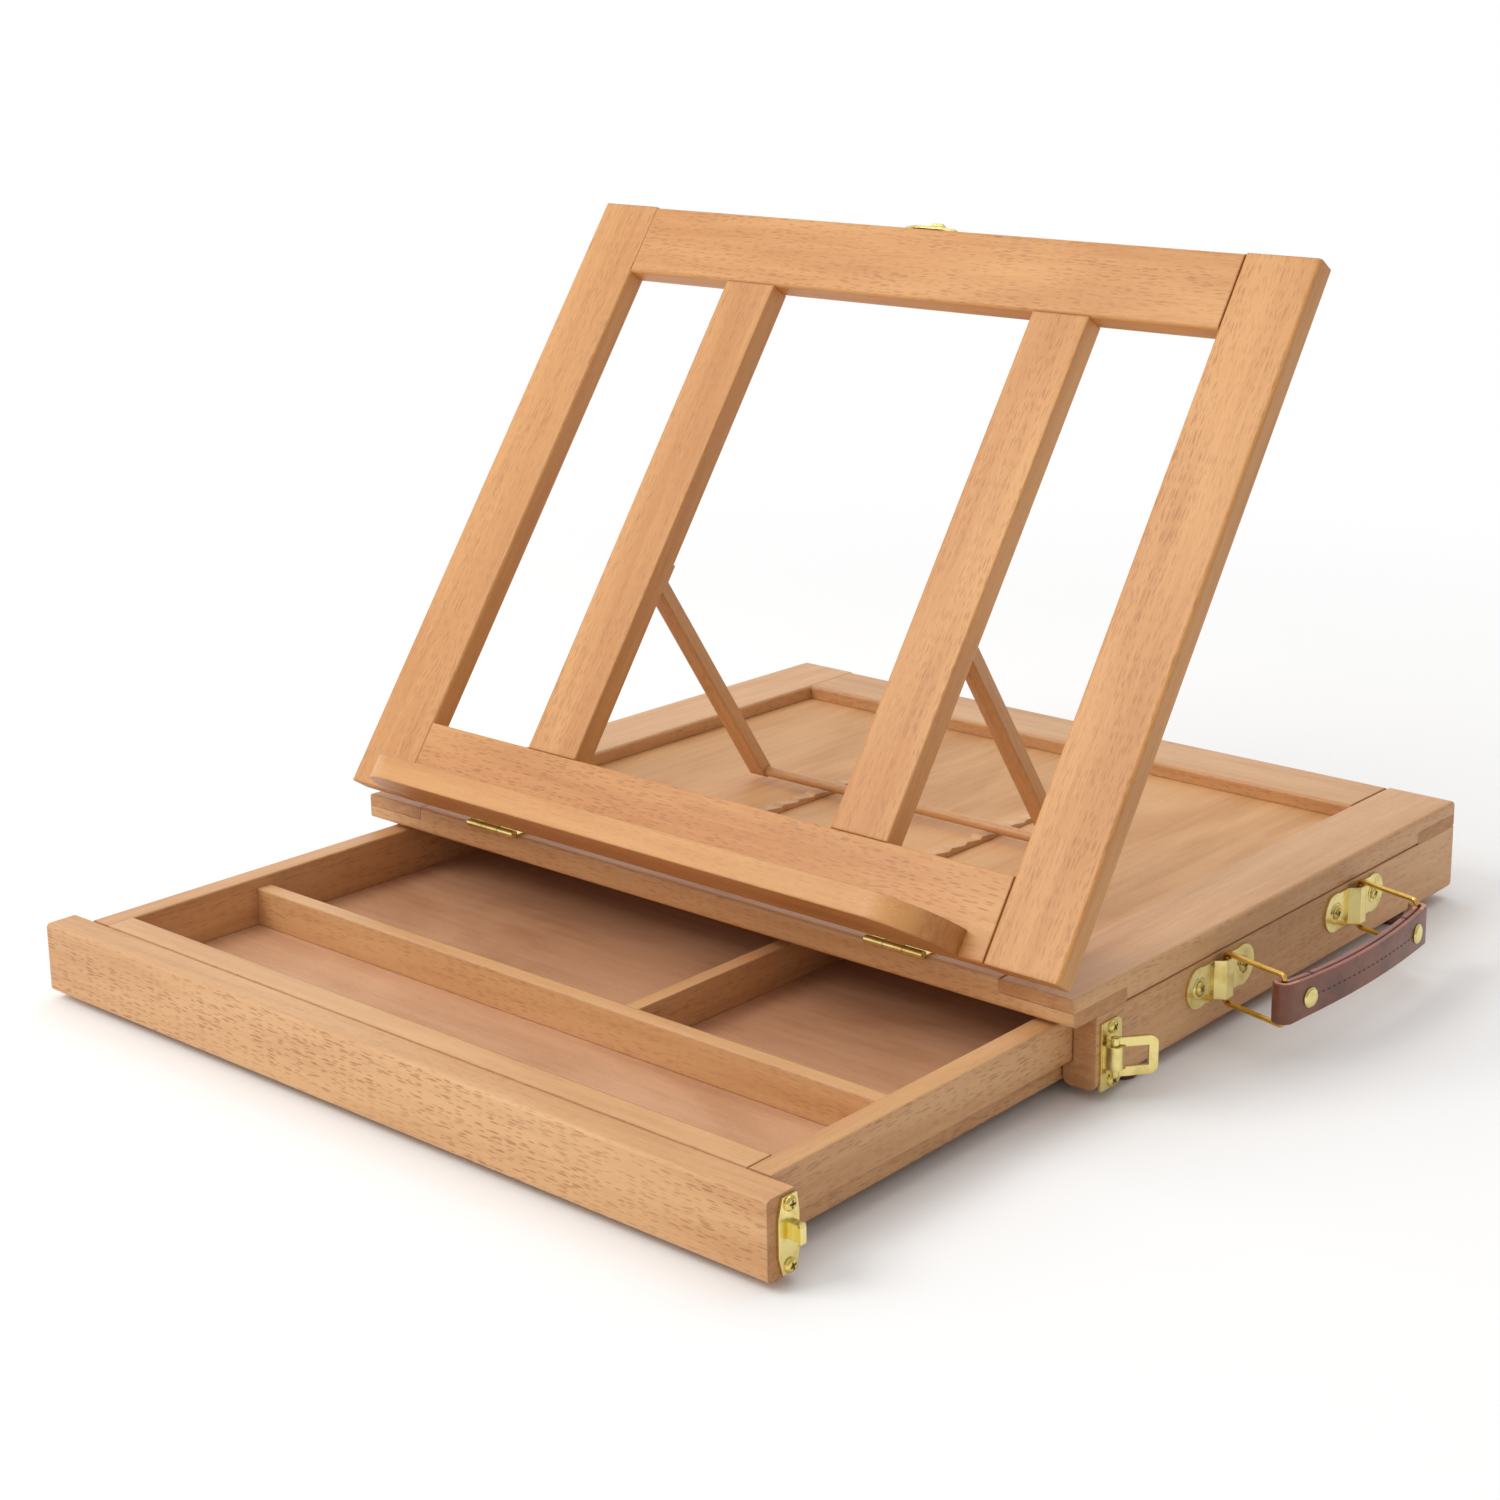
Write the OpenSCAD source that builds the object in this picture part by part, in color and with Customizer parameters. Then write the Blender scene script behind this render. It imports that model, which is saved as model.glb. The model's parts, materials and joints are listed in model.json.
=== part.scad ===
/* [Overall] */
// Width of the box and of the tilting panel
easel_w = 340; // [300:5:420]
// Depth of the box, and the height of the panel
easel_d = 260; // [235:5:340]
// How far the drawer is pulled out
drawer_out = 144.75; // [0:0.25:180]
// How far the panel is opened from lying flat
panel_open = 55.7; // [10:0.1:70]

/* [Box] */
// Thickness of the side boards
side_t = 9; // [6:0.5:12]
// Height of the side boards under the top frame
side_h = 26; // [25:0.5:45]
// Thickness of the back board
back_t = 9; // [6:0.5:12]
// Thickness of the frame on top of the box
frame_t = 10; // [8:0.5:14]
// Width of the rails and stiles of the top frame
frame_w = 30; // [24:1:36]
// Thickness of the sheet set in the top frame
top_sheet_t = 4; // [3:0.5:5]
// How deep the sheet sits in the frame's rabbets
rabbet_w = 5; // [3:0.5:8]
// Width of the runner lip inside a side board
lip_w = 4; // [3:0.5:4.5]
// Height of the runner lip
lip_h = 8.5; // [6:0.5:10]
// Rounding along the edges of a board
edge_r = 1.5; // [0.5:0.1:2]
// Height of a foot
foot_h = 4; // [3:0.5:8]
// Diameter of a foot
foot_dia = 11; // [8:0.5:12]
// Distance of a foot from the front or the back of the box
foot_inset = 38; // [15:1:60]

/* [Drawer] */
// Thickness of the drawer's front board
drawer_front_t = 12.5; // [10:0.5:16]
// Thickness of the wall behind the front board
inner_front_t = 10; // [6:0.5:14]
// Thickness of the drawer's side walls
drawer_side_t = 9; // [7:0.5:12]
// Thickness of the drawer's back wall
drawer_back_t = 9; // [6:0.5:12]
// Thickness of the drawer's bottom sheet
drawer_sheet_t = 3; // [2:0.5:4]
// How deep the bottom sheet sits in the walls' grooves
groove_d = 3; // [2:0.25:4]
// Thickness of the dividers
divider_t = 6; // [4:0.5:8]
// Distance from the drawer's front to the long divider
divider_y = 75.3; // [50:0.1:110]
// Distance of the cross divider from the middle of the drawer
divider_x = 34.5; // [-60:0.5:60]
// How far the dividers stay below the walls
divider_drop = 4; // [0:0.5:8]

/* [Panel] */
// Thickness of the tilting panel
panel_t = 9; // [7:0.5:12]
// Width of the panel's stiles and rails
panel_rail_w = 30; // [24:1:36]
// Width of an upright slat in the panel
slat_w = 25; // [20:1:32]
// Distance of a slat's middle line from the middle of the panel
slat_x = 74.5; // [60:0.5:90]
// Thickness of the ledge that holds the work
ledge_t = 9; // [6:0.5:14]
// How far the ledge stands out from the panel
ledge_depth = 25; // [15:1:35]
// Distance from the panel's left edge to the ledge
ledge_inset_left = 22; // [5:1:40]
// Distance from the panel's right edge to the ledge
ledge_inset_right = 40; // [5:1:50]

/* [Hinges] */
// Length of a hinge along its pin
hinge_len = 25; // [20:1:35]
// How far a hinge leaf reaches over the wood
leaf_reach = 14; // [12:0.5:20]
// Thickness of a hinge leaf
leaf_t = 0.9; // [0.6:0.1:0.9]
// Diameter of a hinge knuckle
knuckle_dia = 3; // [2.6:0.1:3]
// Diameter of a hinge pin
pin_dia = 1.4; // [1:0.1:1.4]
// Distance from the frame's stile to a hinge's middle
hinge_inset = 42; // [40:1:60]
// Distance of the hinge pin in front of the box
pin_ahead = 1.5; // [1.5:0.1:2.5]

/* [Prop] */
// Width of a prop leg
leg_w = 8; // [6:0.5:10]
// Thickness of a prop leg
leg_t = 5; // [4:0.1:5]
// Diameter of the bar between the legs
foot_bar_dia = 4; // [3:0.1:4]
// Diameter of a leg's pivot pin
leg_pin_dia = 2.4; // [2:0.1:2.6]
// How far the legs' pivot lies below the pin line when folded
prop_sink = 2; // [1.8:0.1:2.2]
// Distance kept between the folded bar and the frame's back rail
prop_end_gap = 10; // [6:0.5:20]
// Thickness of a bracket cheek beside a leg
cheek_t = 3; // [2:0.5:5]
// Distance of a rack from the middle of the box
rack_x = 42; // [20:1:55]
// Width of a rack
rack_w = 5; // [4:0.5:8]
// Distance from the box's front to the first notch
rack_start = 70; // [65:1:80]
// Distance between notches
rack_pitch = 9.5; // [8:0.5:12]
// Number of notches
rack_teeth = 12; // [6:1:12]
// Depth of a notch
rack_notch = 0.9; // [0.5:0.1:1]

/* [Latches] */
// Length of a latch plate and of a catch plate
plate_len = 23.4; // [22:0.1:24]
// Width of a latch plate
latch_plate_w = 11.5; // [10:0.5:14]
// Width of a catch plate in the middle
catch_w = 8.6; // [7:0.1:8.8]
// Thickness of the plates
plate_t = 1; // [0.6:0.1:1]
// Diameter of the barrel that holds the loop
barrel_dia = 5.5; // [5:0.1:5.8]
// Length of that barrel
barrel_len = 8; // [6:0.1:8.4]
// Height of the loop's pivot above the wood
pivot_rise = 3.5; // [3.2:0.1:4]
// Outer width of the loop
loop_w = 13.4; // [12.6:0.1:15]
// Width of the loop's opening
loop_window = 6.9; // [6.4:0.1:7.4]
// Reach of the loop from its pivot
loop_reach = 14.5; // [14:0.1:16]
// Thickness of the loop
loop_t = 1.2; // [0.8:0.1:1.4]
// Width of the bar at the loop's end
loop_bar = 3.2; // [2.4:0.1:3.4]
// Distance from the loop's pivot to the hook it closes over
hook_reach = 7.8; // [7.4:0.1:8.2]
// Angle between an open side loop and the wood behind it
loop_open = 39; // [10:1:90]

/* [Handle] */
// Distance from the box's front to the front bracket
handle_front_y = 86.7; // [70:0.1:100]
// Distance between the two brackets
handle_span = 93; // [80:1:110]
// Height of the handle's middle line above the side board's foot
handle_z = 17.25; // [16:0.25:18]
// Diameter of the handle's wire
wire_dia = 1.9; // [1.5:0.1:2]
// Reach of a wire link from its pivot to the strap
link_reach = 27.2; // [20:0.1:32]
// Height of a wire link, between the middles of its arms
link_h = 18; // [18:0.1:20]
// Angle of the links towards the front
link_angle = 12.5; // [0:0.5:60]
// Height of the strap
strap_h = 14.6; // [12:0.1:14.6]
// Thickness of the strap
strap_t = 5; // [4:0.1:6]
// Diameter of the strap's rolled ends
strap_roll = 8; // [7:0.1:9]
// How far the strap bows outwards
strap_bow = 3.5; // [1:0.1:8]
// Distance between two bracket screws
bracket_screws = 28; // [26:1:32]
// Width of a bracket's hump at its foot
hump_w = 11; // [9:0.5:13]
// Width of a bracket's hump at its crest
hump_crest = 4.2; // [3.8:0.1:6]
// Height of a bracket's hump
hump_h = 14; // [10:0.5:14]
// How far a bracket's hump stands out
hump_out = 4.6; // [4.6:0.1:5.2]
// Thickness of the bent sheet of a bracket's hump
hump_t = 0.9; // [0.6:0.1:0.9]

/* [Screws] */
// Diameter of a screw's shank
shank_dia = 2; // [1.6:0.1:2.2]
// Length of a screw in the wood
screw_len = 6; // [4:0.5:7]
// Diameter of a round screw head
head_dia = 4.6; // [4:0.1:5]
// Height of a round screw head
head_h = 1.3; // [0.8:0.1:1.5]
// Diameter of a flat screw head
flat_dia = 3.8; // [3.4:0.1:4.2]

/* [Part to draw] */

/* [Hidden] */
$fn = 48;
slide_gap = 0.5;       // drawer to side board
lip_gap = 0.7;         // drawer wall to runner lip
lift_gap = 0.3;        // drawer wall above the lip
end_gap = 0.2;         // drawer front to side board
top_gap = 2;           // drawer front to top frame
front_drop = 1;        // drawer front below the side boards
rear_gap = 4;          // drawer back to back board
wall_lift = 1;         // drawer walls above the side boards' foot
sheet_lift = 2.8;      // drawer sheet above the side boards' foot
pin_rise = 1;          // hinge pin above the box and below the panel
play = 0.05;           // a turning pin in its hole
bite = 0.05;           // a screw in its hole
joint_gap = 0.2;       // side play between moving pieces
path_gap = 0.3;        // rack notches below the bar
cheek_d = 12;          // length of a bracket cheek
cheek_h = 6;           // height of a bracket cheek
wire_bend = 1.6;       // bend of a wire link
plate_edge = 4;        // plate ahead of the loop's pivot
ledge_screw_len = 21;
ledge_screw_inset = 20;
screw_row = 9.3;       // plate screws from the middle
leaf_screw = 7;        // leaf screws from the hinge's middle
hook_w = 5.2;
hook_base = 2.8;
hook_rise = 4.8;
hook_lean = 1;
rivet_dia = 7.2;
plate_waist = 14;      // bracket plate between its rounded ends
rivet_shank = 2.4;
rivet_inset = 9;       // rivet from the wire in a roll
far = 40;              // reach of a screw hole's cut past the wood
past = 1;              // reach of a cut past the face it leaves
hook_inset = 1.8;      // middle of a side hook from the back of the drawer's front
back_hook_rise = 1.6;  // middle of the back hook above the folded panel's underside
pivot_out = 2.5;       // pivot of a handle link from the side board
latch_screw_x = -2;    // plate screws from the loop's pivot
catch_screw_x = 2.6;   // catch screws from the hook's middle
catch_lead = 1.5;      // catch plate ahead of the hook's middle
catch_front = 1;       // slope of a catch plate's ends, front
catch_rear = 1.7;      // slope of a catch plate's ends, rear
leaf_screw_edge = 5;   // leaf screws from the leaf's far edge
foot_chamfer = 0.8;
loop_pin_r = 1;        // pin of a latch loop
loop_boss_r = 1.5;     // shoulder of that pin
loop_barrel_gap = 0.6; // loop's opening from its barrel
lobe_r = 7.4;          // rounded end of a handle bracket
rack_lead = 3;         // rack ahead of its first notch
notch_run = 0.85;      // share of the pitch over which a notch slopes
rivet_rise = 1.5;      // top of a rivet's head above the strap
rivet_out = 0.2;       // rivet behind the strap
rivet_gap = 0.1;       // head's flat underside above the strap's crown
tab_overlap = 0.5;     // hinge leaf's tab into its knuckle
// outline of a round head, as shares of its radius and its height
dome = [[0, 0], [1, 0], [1, 0.3], [0.84, 0.7], [0.44, 0.95], [0, 1]];

half_w = easel_w / 2;
box_foot = foot_h;
frame_z = foot_h + side_h;
box_top = frame_z + frame_t;
open_x = half_w - frame_w;
axis_y = -pin_ahead;
axis_z = box_top + pin_rise;
front_z0 = box_foot - front_drop;
front_z1 = frame_z - top_gap;
latch_z = (front_z0 + front_z1) / 2;
wall_z0 = box_foot + wall_lift;
drawer_half = half_w - side_t - slide_gap;
drawer_in = drawer_half - drawer_side_t;
drawer_len = easel_d - back_t - rear_gap;
drawer_back_y = drawer_len - drawer_back_t;
inner_y = drawer_front_t + inner_front_t;
sheet_z0 = box_foot + sheet_lift;
sheet_z1 = sheet_z0 + drawer_sheet_t;
side_y0 = drawer_front_t + end_gap;
hook_y = drawer_front_t - hook_inset;
latch_y = hook_y + hook_reach;
hinge_x = open_x - hinge_inset;
panel_open_x = half_w - panel_rail_w;
panel_b0 = pin_rise;
panel_b1 = pin_rise + panel_t;
panel_a0 = pin_ahead;
panel_a1 = pin_ahead + easel_d;
shank_r = shank_dia / 2;
pin_r = pin_dia / 2;
tab_y = knuckle_dia / 2 - tab_overlap;
wire_r = wire_dia / 2;
bar_r = foot_bar_dia / 2;
prop_fold = (easel_d - frame_w - prop_end_gap + pin_ahead) / 2;
prop_slope = asin(prop_sink / prop_fold);
back_latch_z = box_top + 2 * pin_rise + back_hook_rise - hook_reach;
pivot_x = half_w + pivot_out;
strap_half = handle_span / 2;
strap_r = (pow(strap_half, 2) + pow(strap_bow, 2)) / (2 * strap_bow);
strap_turn = asin(strap_half / strap_r);
strap_side = (strap_roll - strap_t) / 2;
handle_mid_z = box_foot + handle_z;
link_x = link_reach * cos(link_angle);
link_y = -link_reach * sin(link_angle);
loop_out = pivot_rise + loop_reach * sin(loop_open) + loop_t / 2;
strap_out = pivot_x + link_x + strap_side + strap_bow + strap_t / 2;
centre_x = (strap_out - half_w - loop_out) / 2;
centre_y = (easel_d + pivot_rise + barrel_dia / 2 - drawer_out) / 2;
beech = [0.87, 0.7, 0.5];
pale_beech = [0.92, 0.78, 0.6];
brass = [0.85, 0.75, 0.4];
ply = [0.85, 0.68, 0.48];
brown = [0.25, 0.14, 0.09];
leather = [0.42, 0.22, 0.15];

// ---- placing ----
module placed() translate([-centre_x, -centre_y, 0]) children();
module in_drawer() placed() translate([0, -drawer_out, 0]) children();
module on_panel() placed() translate([0, axis_y, axis_z]) rotate([panel_open, 0, 0]) children();
module mirrored(left) if (left) mirror([1, 0, 0]) children(); else children();

// local x towards the catch, y along the barrel, z out of the wood
module at_side_latch(left = false)
    mirrored(left)
        translate([half_w, latch_y, latch_z])
            rotate([-90, 0, 0]) rotate([0, 90, 0])
                children();
module at_back_latch(y = easel_d)
    translate([0, y, back_latch_z])
        rotate([0, 0, -90]) rotate([0, -90, 0])
            children();
module at_panel_latch()
    translate([0, -axis_y, -axis_z])
        at_back_latch()
            children();

// local x out of the side board, y towards the back, z up
module at_bracket(back)
    translate([half_w, handle_front_y + (back ? handle_span : 0), handle_mid_z]) children();
module at_link(back)
    translate([pivot_x, handle_front_y + (back ? handle_span : 0), handle_mid_z])
        rotate([0, 0, -link_angle])
            children();
module at_strap()
    translate([pivot_x + link_x, handle_front_y + link_y, handle_mid_z]) children();

// ---- shapes ----
module eased_square(size, r = edge_r) {
    translate([r, 0]) square([size.x - 2 * r, size.y]);
    translate([0, r]) square([size.x, size.y - 2 * r]);
    for (x = [r, size.x - r], y = [r, size.y - r])
        translate([x, y]) circle(r);
}
module block(p0, p1) translate(p0) cube(p1 - p0);
module bar_x(p0, p1, r = edge_r)
    translate(p0) rotate([90, 0, 90])
        linear_extrude(p1.x - p0.x) eased_square([p1.y - p0.y, p1.z - p0.z], r);
module bar_y(p0, p1, r = edge_r)
    translate([p0.x, p1.y, p0.z]) rotate([90, 0, 0])
        linear_extrude(p1.y - p0.y) eased_square([p1.x - p0.x, p1.z - p0.z], r);

// screws: local z out of the wood, head on z = 0
module pilot(len = screw_len) translate([0, 0, -len - bite]) cylinder(h = len + far, r = shank_r + bite);
module blind(len = screw_len) translate([0, 0, -len - bite]) cylinder(h = len + bite, r = shank_r + bite);
module round_head(dia, rise)
    rotate_extrude() polygon([for (p = dome) [p.x * dia / 2, p.y * rise]]);
module round_screw(len = screw_len) {
    translate([0, 0, -len]) cylinder(h = len + head_h / 2, r = shank_r);
    round_head(head_dia, head_h);
}
module flat_cone(extra = 0) {
    translate([0, 0, -leaf_t])
        cylinder(h = leaf_t, r1 = shank_r + extra, r2 = flat_dia / 2 + extra);
}
module flat_screw(len = screw_len) {
    translate([0, 0, -len - leaf_t]) cylinder(h = len + leaf_t / 2, r = shank_r);
    flat_cone();
}

module at_plate_screws(x) for (y = [-screw_row, screw_row]) translate([x, y, plate_t]) children();
module at_latch_screws() at_plate_screws(latch_screw_x) children();
module at_catch_screws() at_plate_screws(hook_reach + catch_screw_x) children();
module at_leaf_screws(left)
    for (x = [-leaf_screw, leaf_screw])
        translate([(left ? -hinge_x : hinge_x) + x, 0, 0]) children();
module at_bracket_screws(back)
    at_bracket(back)
        for (y = [-bracket_screws / 2, bracket_screws / 2])
            translate([plate_t, y, 0]) rotate([0, 90, 0]) children();
module at_box_leaf_screws()
    for (left = [true, false])
        translate([0, leaf_reach - leaf_screw_edge, box_top + leaf_t]) at_leaf_screws(left) children();
module at_panel_leaf_screws()
    for (left = [true, false])
        translate([0, panel_a0 + leaf_reach - leaf_screw_edge, panel_b0 - leaf_t])
            at_leaf_screws(left) rotate([180, 0, 0]) children();
module at_ledge_screws()
    for (x = [-1, -1 / 3, 1 / 3, 1])
        translate([x * (panel_open_x - ledge_screw_inset), panel_a0 + ledge_t / 2, panel_b0])
            rotate([180, 0, 0]) children();

// ---- box ----
module side_profile() {
    difference() {
        union() {
            translate([half_w - side_t, box_foot]) square([side_t, side_h]);
            translate([half_w - side_t - lip_w, box_foot]) square([side_t + lip_w, lip_h]);
        }
        translate([half_w - side_t - lip_w, box_foot]) corner_waste();
        translate([half_w, box_foot]) mirror([1, 0]) corner_waste();
    }
}
module corner_waste(r = 2 * edge_r)
    difference() {
        translate([-past, -past]) square(r + past);
        translate([r, r]) circle(r);
    }
module side_board(left)
    mirrored(left)
        difference() {
            translate([0, easel_d, 0]) rotate([90, 0, 0])
                linear_extrude(easel_d - side_y0) side_profile();
            block([0, easel_d - back_t, 0], [half_w - side_t, easel_d + past, box_top]);
        }
module side_left() color(beech) placed()
    difference() {
        side_board(true);
        at_side_latch(true) at_latch_screws() pilot();
    }
module side_right() color(beech) placed()
    difference() {
        side_board(false);
        at_side_latch() at_latch_screws() pilot();
        for (back = [false, true]) at_bracket_screws(back) pilot();
    }
module back_board() color(beech) placed()
    block([side_t - half_w, easel_d - back_t, box_foot], [half_w - side_t, easel_d, frame_z]);
module sheet_block()
    block([-open_x - rabbet_w, frame_w - rabbet_w, frame_z],
        [open_x + rabbet_w, easel_d - frame_w + rabbet_w, frame_z + top_sheet_t]);
module top_rail(back) {
    y0 = back ? easel_d - frame_w : 0;
    y1 = back ? easel_d : frame_w;
    difference() {
        bar_x([-half_w, y0, frame_z], [half_w, y1, box_top]);
        for (x = [-half_w - past, open_x])
            block([x, y0 - past, frame_z + frame_t / 2], [x + frame_w + past, y1 + past, box_top + past]);
        sheet_block();
    }
}
module top_stile(left)
    mirrored(left)
        difference() {
            bar_y([open_x, 0, frame_z], [half_w, easel_d, box_top]);
            for (y = [-past, easel_d - frame_w])
                block([open_x - past, y, frame_z - past],
                    [half_w + past, y + frame_w + past, frame_z + frame_t / 2]);
            sheet_block();
        }
module top_front_rail() color(pale_beech) placed()
    difference() {
        top_rail(false);
        at_box_leaf_screws() pilot(screw_len + leaf_t);
    }
module top_back_rail() color(pale_beech) placed()
    difference() {
        top_rail(true);
        at_back_latch() at_latch_screws() pilot();
    }
module top_stile_left() color(pale_beech) placed() top_stile(true);
module top_stile_right() color(pale_beech) placed() top_stile(false);
module top_sheet() color(ply) placed() sheet_block();
module feet() color(brown) placed()
    for (x = [-1, 1], y = [foot_inset, easel_d - foot_inset])
        translate([x * (half_w - (side_t + lip_w) / 2), y, 0]) {
            cylinder(h = foot_h / 3, r1 = foot_dia / 2 - foot_chamfer, r2 = foot_dia / 2);
            translate([0, 0, foot_h / 3]) cylinder(h = foot_h * 2 / 3, r = foot_dia / 2);
        }

// ---- rack and prop ----
function path_z(y) = axis_z - (y - axis_y) * tan(prop_slope);
function tip_z(y) = path_z(y) - bar_r - path_gap;
rack_z0 = frame_z + top_sheet_t;
rack_end = rack_start + rack_pitch * rack_teeth;
module rack(left)
    mirrored(left)
        translate([rack_x - rack_w / 2, 0, 0]) rotate([90, 0, 90])
            linear_extrude(rack_w)
                polygon(concat(
                    [[rack_end, tip_z(rack_end)], [rack_end, rack_z0], [rack_start - rack_lead, rack_z0],
                        [rack_start - rack_lead, tip_z(rack_start)]],
                    [for (i = [0:rack_teeth - 1], k = [0, 1])
                        let (y = rack_start + (i + k * notch_run) * rack_pitch)
                        [y, tip_z(y) - k * rack_notch]]));
module rack_left() color(beech) placed() rack(true);
module rack_right() color(beech) placed() rack(false);
module at_prop_pivot()
    rotate([-prop_slope, 0, 0]) translate([0, prop_fold, 0]) children();
module prop_brackets() color(beech) on_panel()
    for (side = [-1, 1], k = [-1, 1])
        translate([side * slat_x + k * (leg_w / 2 + joint_gap + cheek_t / 2), 0, 0])
            difference() {
                translate([-cheek_t / 2, prop_fold - cheek_d / 2, panel_b0 - cheek_h])
                    cube([cheek_t, cheek_d, cheek_h]);
                at_prop_pivot() rotate([0, 90, 0])
                    cylinder(h = cheek_t + 2 * past, r = leg_pin_dia / 2, center = true);
            }
module at_prop()
    on_panel() at_prop_pivot() rotate([-2 * panel_open, 0, 0]) children();
module prop_leg(side)
    at_prop()
        translate([side * slat_x - leg_w / 2, 0, 0]) rotate([90, 0, 90])
            difference() {
                linear_extrude(leg_w) {
                    translate([0, -leg_t / 2]) square([prop_fold, leg_t]);
                    circle(leg_t / 2);
                    translate([prop_fold, 0]) circle(leg_t / 2);
                }
                translate([0, 0, -past]) cylinder(h = leg_w + 2 * past, r = leg_pin_dia / 2 + play);
                translate([prop_fold, 0, -past]) cylinder(h = leg_w + 2 * past, r = bar_r);
            }
module prop_leg_left() color(beech) prop_leg(-1);
module prop_leg_right() color(beech) prop_leg(1);
module prop_foot_bar() color(pale_beech)
    at_prop() translate([0, prop_fold, 0]) rotate([0, 90, 0])
        cylinder(h = 2 * slat_x + leg_w, r = bar_r, center = true);
module prop_pins() color(brass)
    on_panel() at_prop_pivot() rotate([0, 90, 0])
        for (side = [-1, 1])
            translate([0, 0, side * slat_x])
                cylinder(h = leg_w + 2 * joint_gap + 2 * cheek_t, r = leg_pin_dia / 2, center = true);

// ---- hinges ----
module knuckles(outer) {
    third = hinge_len / 3;
    for (x = outer ? [-third, third] : [0]) translate([x, 0, 0]) children();
}
module knuckle(hole)
    difference() {
        union() {
            rotate([0, 90, 0])
                cylinder(h = hinge_len / 3 - joint_gap, r = knuckle_dia / 2, center = true);
            translate([(joint_gap - hinge_len / 3) / 2, tab_y, -pin_rise])
                cube([hinge_len / 3 - joint_gap, pin_ahead + joint_gap - tab_y, leaf_t]);
        }
        rotate([0, 90, 0]) cylinder(h = hinge_len, r = hole, center = true);
    }
// leaf in the pin's frame: flat side down on z = -pin_rise
module leaf(outer, hole)
    union() {
        knuckles(outer) knuckle(hole);
        difference() {
            translate([-hinge_len / 2, pin_ahead + joint_gap / 2, -pin_rise])
                cube([hinge_len, leaf_reach - joint_gap / 2, leaf_t]);
            for (x = [-leaf_screw, leaf_screw])
                translate([x, pin_ahead + leaf_reach - leaf_screw_edge, -pin_rise + leaf_t]) flat_cone();
        }
    }
module box_leaf(left)
    translate([left ? -hinge_x : hinge_x, axis_y, axis_z]) leaf(true, pin_r);
module panel_leaf(left)
    translate([left ? -hinge_x : hinge_x, 0, 0]) mirror([0, 0, 1]) leaf(false, pin_r + play);
module hinge_leaf_box_left() color(brass) placed() box_leaf(true);
module hinge_leaf_box_right() color(brass) placed() box_leaf(false);
module hinge_pins() color(brass) placed()
    for (x = [-hinge_x, hinge_x])
        translate([x, axis_y, axis_z]) rotate([0, 90, 0])
            cylinder(h = hinge_len - joint_gap, r = pin_r, center = true);
module hinge_screws_box() color(brass) placed() at_box_leaf_screws() flat_screw();
module hinge_leaf_panel_left() color(brass) on_panel() panel_leaf(true);
module hinge_leaf_panel_right() color(brass) on_panel() panel_leaf(false);
module hinge_screws_panel() color(brass) on_panel() at_panel_leaf_screws() flat_screw();

// ---- latches ----
module latch_plate()
    difference() {
        union() {
            linear_extrude(plate_t)
                intersection() {
                    translate([plate_edge - latch_plate_w, -plate_len / 2])
                        eased_square([latch_plate_w + edge_r * 2, plate_len], edge_r * 2);
                    translate([plate_edge - latch_plate_w, -plate_len / 2])
                        square([latch_plate_w, plate_len]);
                }
            translate([0, 0, pivot_rise]) rotate([90, 0, 0])
                cylinder(h = barrel_len, r = barrel_dia / 2, center = true);
            translate([-barrel_dia / 2, -barrel_len / 2, 0])
                cube([barrel_dia, barrel_len, pivot_rise]);
        }
        translate([0, 0, pivot_rise]) rotate([90, 0, 0])
            cylinder(h = barrel_len + 2 * past, r = loop_pin_r + play, center = true);
        at_latch_screws() pilot();
    }
module catch_outline() {
    x0 = hook_reach - catch_lead;
    x1 = x0 + catch_w;
    square_y = plate_len / 4;
    end_y = plate_len / 2;
    polygon([[x0, -square_y], [x0, square_y], [x0 + catch_front, end_y], [x1 - catch_rear, end_y],
        [x1, square_y], [x1, -square_y], [x1 - catch_rear, -end_y], [x0 + catch_front, -end_y]]);
}
module hook_profile() {
    x0 = hook_reach - hook_base / 2;
    x1 = hook_reach + hook_base / 2;
    polygon([[x0, 0], [x1, 0], [x1, hook_rise * 0.6], [x1 + hook_lean, hook_rise * 0.8],
        [x1 + hook_lean, hook_rise], [hook_reach, hook_rise], [x0, hook_rise * 0.7]]);
}
module catch_plate()
    difference() {
        union() {
            linear_extrude(plate_t) catch_outline();
            translate([0, hook_w / 2, 0]) rotate([90, 0, 0]) linear_extrude(hook_w) hook_profile();
        }
        at_catch_screws() pilot();
    }
module loop_shape() {
    arm = barrel_len / 2 + joint_gap;
    turn = barrel_dia / 2 + loop_barrel_gap;
    difference() {
        translate([-loop_pin_r, -loop_w / 2]) square([loop_reach + loop_pin_r, loop_w]);
        translate([turn, -loop_window / 2])
            square([loop_reach - loop_bar - turn, loop_window]);
        translate([-loop_pin_r - past, -arm]) square([turn + loop_pin_r + past, 2 * arm]);
        for (y = [-loop_w / 2, loop_w / 2])
            translate([loop_reach, y]) mirror([1, 0]) mirror([0, y > 0 ? 1 : 0])
                corner_waste();
    }
}
module loop_in_place(open = loop_open)
    translate([0, 0, pivot_rise]) rotate([0, -180 + open, 0]) {
        translate([0, 0, -loop_t / 2]) linear_extrude(loop_t) loop_shape();
        for (k = [-1, 1])
            rotate([k * 90, 0, 0]) {
                translate([0, 0, loop_pin_r]) cylinder(h = loop_w / 2 - loop_pin_r, r = loop_pin_r);
                translate([0, 0, barrel_len / 2 + joint_gap])
                    cylinder(h = loop_w / 2 - barrel_len / 2 - joint_gap, r = loop_boss_r);
            }
    }
module latch_plate_right() color(brass) placed() at_side_latch() latch_plate();
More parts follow.
